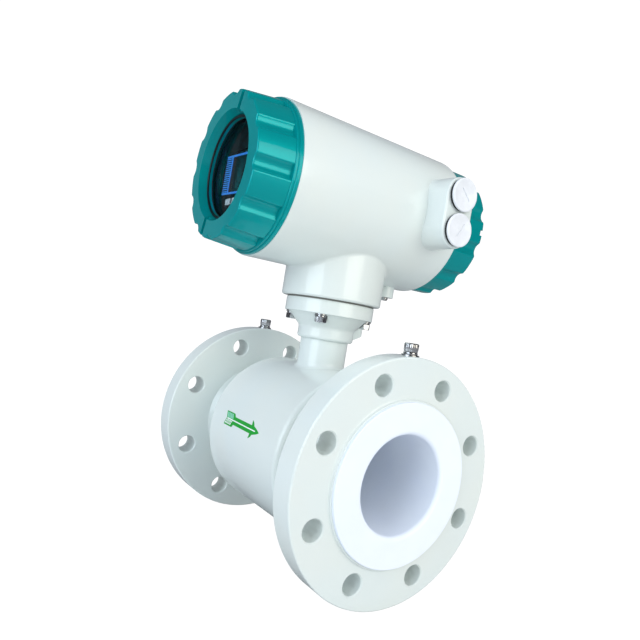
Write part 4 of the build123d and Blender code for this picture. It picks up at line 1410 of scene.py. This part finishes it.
@dataclass(frozen=True)
class Softbox:
    """A square lamp that stands round the object and faces it, in metres and watts."""

    name: str
    azimuth: float
    height: float
    distance: float
    size: float
    power: float
    tint: Colour

    def hang(self) -> None:
        """Adds the lamp to the scene."""
        angle = math.radians(self.azimuth)
        place = Vector((self.distance * math.sin(angle), -self.distance * math.cos(angle), self.height))
        data = bpy.data.lights.new(self.name, "AREA")
        data.shape, data.size, data.energy, data.color = "SQUARE", self.size, self.power, self.tint
        item = bpy.data.objects.new(self.name, data)
        item.location = place
        item.rotation_euler = (Vector((0.0, 0.0, 0.1)) - place).to_track_quat("-Z", "Y").to_euler()
        bpy.context.scene.collection.objects.link(item)


@dataclass
class Studio:
    """The floor, lamps, background and camera."""

    eye: tuple[float, float, float] = (500.533, -349.236, 122.168)
    yaw: float = 54.893
    pitch: float = 0.483
    roll: float = 9.167
    lens: float = 32.417
    shift: Point = (-0.0118, 0.0209)
    softboxes: tuple[Softbox, ...] = (
        Softbox("left_softbox", 12.0, 0.50, 2.0, 1.4, 17.5, (0.80, 0.91, 1.0)),
        Softbox("right_softbox", 98.0, 0.75, 2.0, 1.4, 15.5, (1.0, 0.96, 0.84)),
    )
    floor_z: float = -110.0
    sweep_half: float = 6000.0
    sweep_bend: float = 1500.0
    wall_distance: float = 3500.0
    wall_top: float = 3200.0
    daylight: float = 0.85
    mirrored: float = 0.05
    whiten: float = 0.90

    def camera(self) -> None:
        """Places the camera where the photograph was taken from."""
        yaw, pitch, roll = (math.radians(value) for value in (self.yaw, self.pitch, self.roll))
        back = Vector((math.sin(yaw) * math.cos(pitch), -math.cos(yaw) * math.cos(pitch), math.sin(pitch)))
        level = Vector((math.cos(yaw), math.sin(yaw), 0.0))
        upright = back.cross(level)
        right = level * math.cos(roll) + upright * math.sin(roll)
        up = upright * math.cos(roll) - level * math.sin(roll)
        data = bpy.data.cameras.new("product_camera")
        data.lens, data.sensor_width = self.lens, 36.0
        data.shift_x, data.shift_y = self.shift
        data.clip_start, data.clip_end = 0.02, 50.0
        item = bpy.data.objects.new("product_camera", data)
        matrix = Matrix((right, up, back)).transposed().to_4x4()
        matrix.translation = Vector(self.eye) * MM
        item.matrix_world = matrix
        bpy.context.scene.collection.objects.link(item)
        bpy.context.scene.camera = item

    @staticmethod
    def seen(sheet: NodeSheet) -> Signal:
        """Returns 1 where the camera sees a surface directly."""
        return Signal(sheet, sheet.add("ShaderNodeLightPath").outputs["Is Camera Ray"])

    @staticmethod
    def mirror(sheet: NodeSheet) -> Signal:
        """Returns 1 where a surface is seen in glossy paint, in metal or through the glass."""
        paths = sheet.add("ShaderNodeLightPath").outputs
        return Signal(sheet, paths["Is Glossy Ray"]).most(Signal(sheet, paths["Is Transmission Ray"]))

    def world(self) -> None:
        """Makes the white surround, its soft light, and the dim room that glossy paint mirrors."""
        world = bpy.data.worlds.new("studio_surround")
        world.use_nodes = True
        bpy.context.scene.world = world
        sheet = NodeSheet(world.node_tree)
        tint = (0.94, 0.97, 1.07)
        light = sheet.blend(self.mirror(sheet), shade(tint, self.daylight), shade(tint, self.mirrored))
        tone = sheet.blend(self.seen(sheet), light, (1.0, 1.0, 1.0))
        surround = sheet.add("ShaderNodeBackground", None, {"Color": tone, "Strength": 1.0}).outputs[0]
        sheet.finish(surround, "ShaderNodeOutputWorld")

    def floor(self) -> None:
        """Makes the pale sweep, which the camera sees as white with the object's soft shadow."""
        material = bpy.data.materials.new("studio_paper")
        material.use_nodes = True
        sheet = NodeSheet(material.node_tree)
        seen = self.seen(sheet)
        paper = sheet.blend(sheet.noise(300.0, 2.0), (0.72, 0.73, 0.74), (0.74, 0.74, 0.74))
        paper = sheet.blend(self.mirror(sheet) * 0.6, paper, (0.0, 0.0, 0.0))
        matt = sheet.add("ShaderNodeBsdfDiffuse", None, {"Color": paper}).outputs[0]
        glow = sheet.add("ShaderNodeEmission", None, {"Color": rgba((1, 1, 1)), "Strength": 1.12}).outputs[0]
        mixed = sheet.add("ShaderNodeMixShader", None, {0: seen * self.whiten, 1: matt, 2: glow}).outputs[0]
        sheet.finish(mixed)
        section = rounded([
            Corner(-self.sweep_half, self.floor_z),
            Corner(self.wall_distance, self.floor_z, self.sweep_bend),
            Corner(self.wall_distance, self.wall_top),
        ], closed=False, steps=24)
        angle = math.radians(self.yaw)
        away = Vector((-math.sin(angle), math.cos(angle), 0.0))
        aside = Vector((math.cos(angle), math.sin(angle), 0.0))
        edges = (-self.sweep_half, self.sweep_half)
        rows = [
            [away * along + aside * edge + Vector((0, 0, height)) for edge in edges]
            for along, height in section
        ]
        mesh = Shape().skin(rows, close=False).mesh("studio_sweep")
        mesh.materials.append(material)
        sweep = bpy.data.objects.new("studio_sweep", mesh)
        bpy.context.scene.collection.objects.link(sweep)

    def build(self) -> None:
        """Sets the studio up."""
        self.camera()
        self.world()
        self.floor()
        for softbox in self.softboxes:
            softbox.hang()
        bpy.context.scene.view_settings.view_transform = "Standard"


def main() -> None:
    """Builds the sub-assemblies in order."""
    logging.basicConfig(level=logging.INFO, format="%(name)s: %(message)s")
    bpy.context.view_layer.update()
    parts: list[SubAssembly] = [
        PipeSection(),
        CoilHousing(),
        FlowArrow(),
        NeckJoint(),
        ConverterHead(),
        Display(),
        Electronics(),
        CableEntries(),
        EarthScrews(),
    ]
    for part in parts:
        part.build()
        part.report()
    Studio().build()


if __name__ == "__main__":
    main()
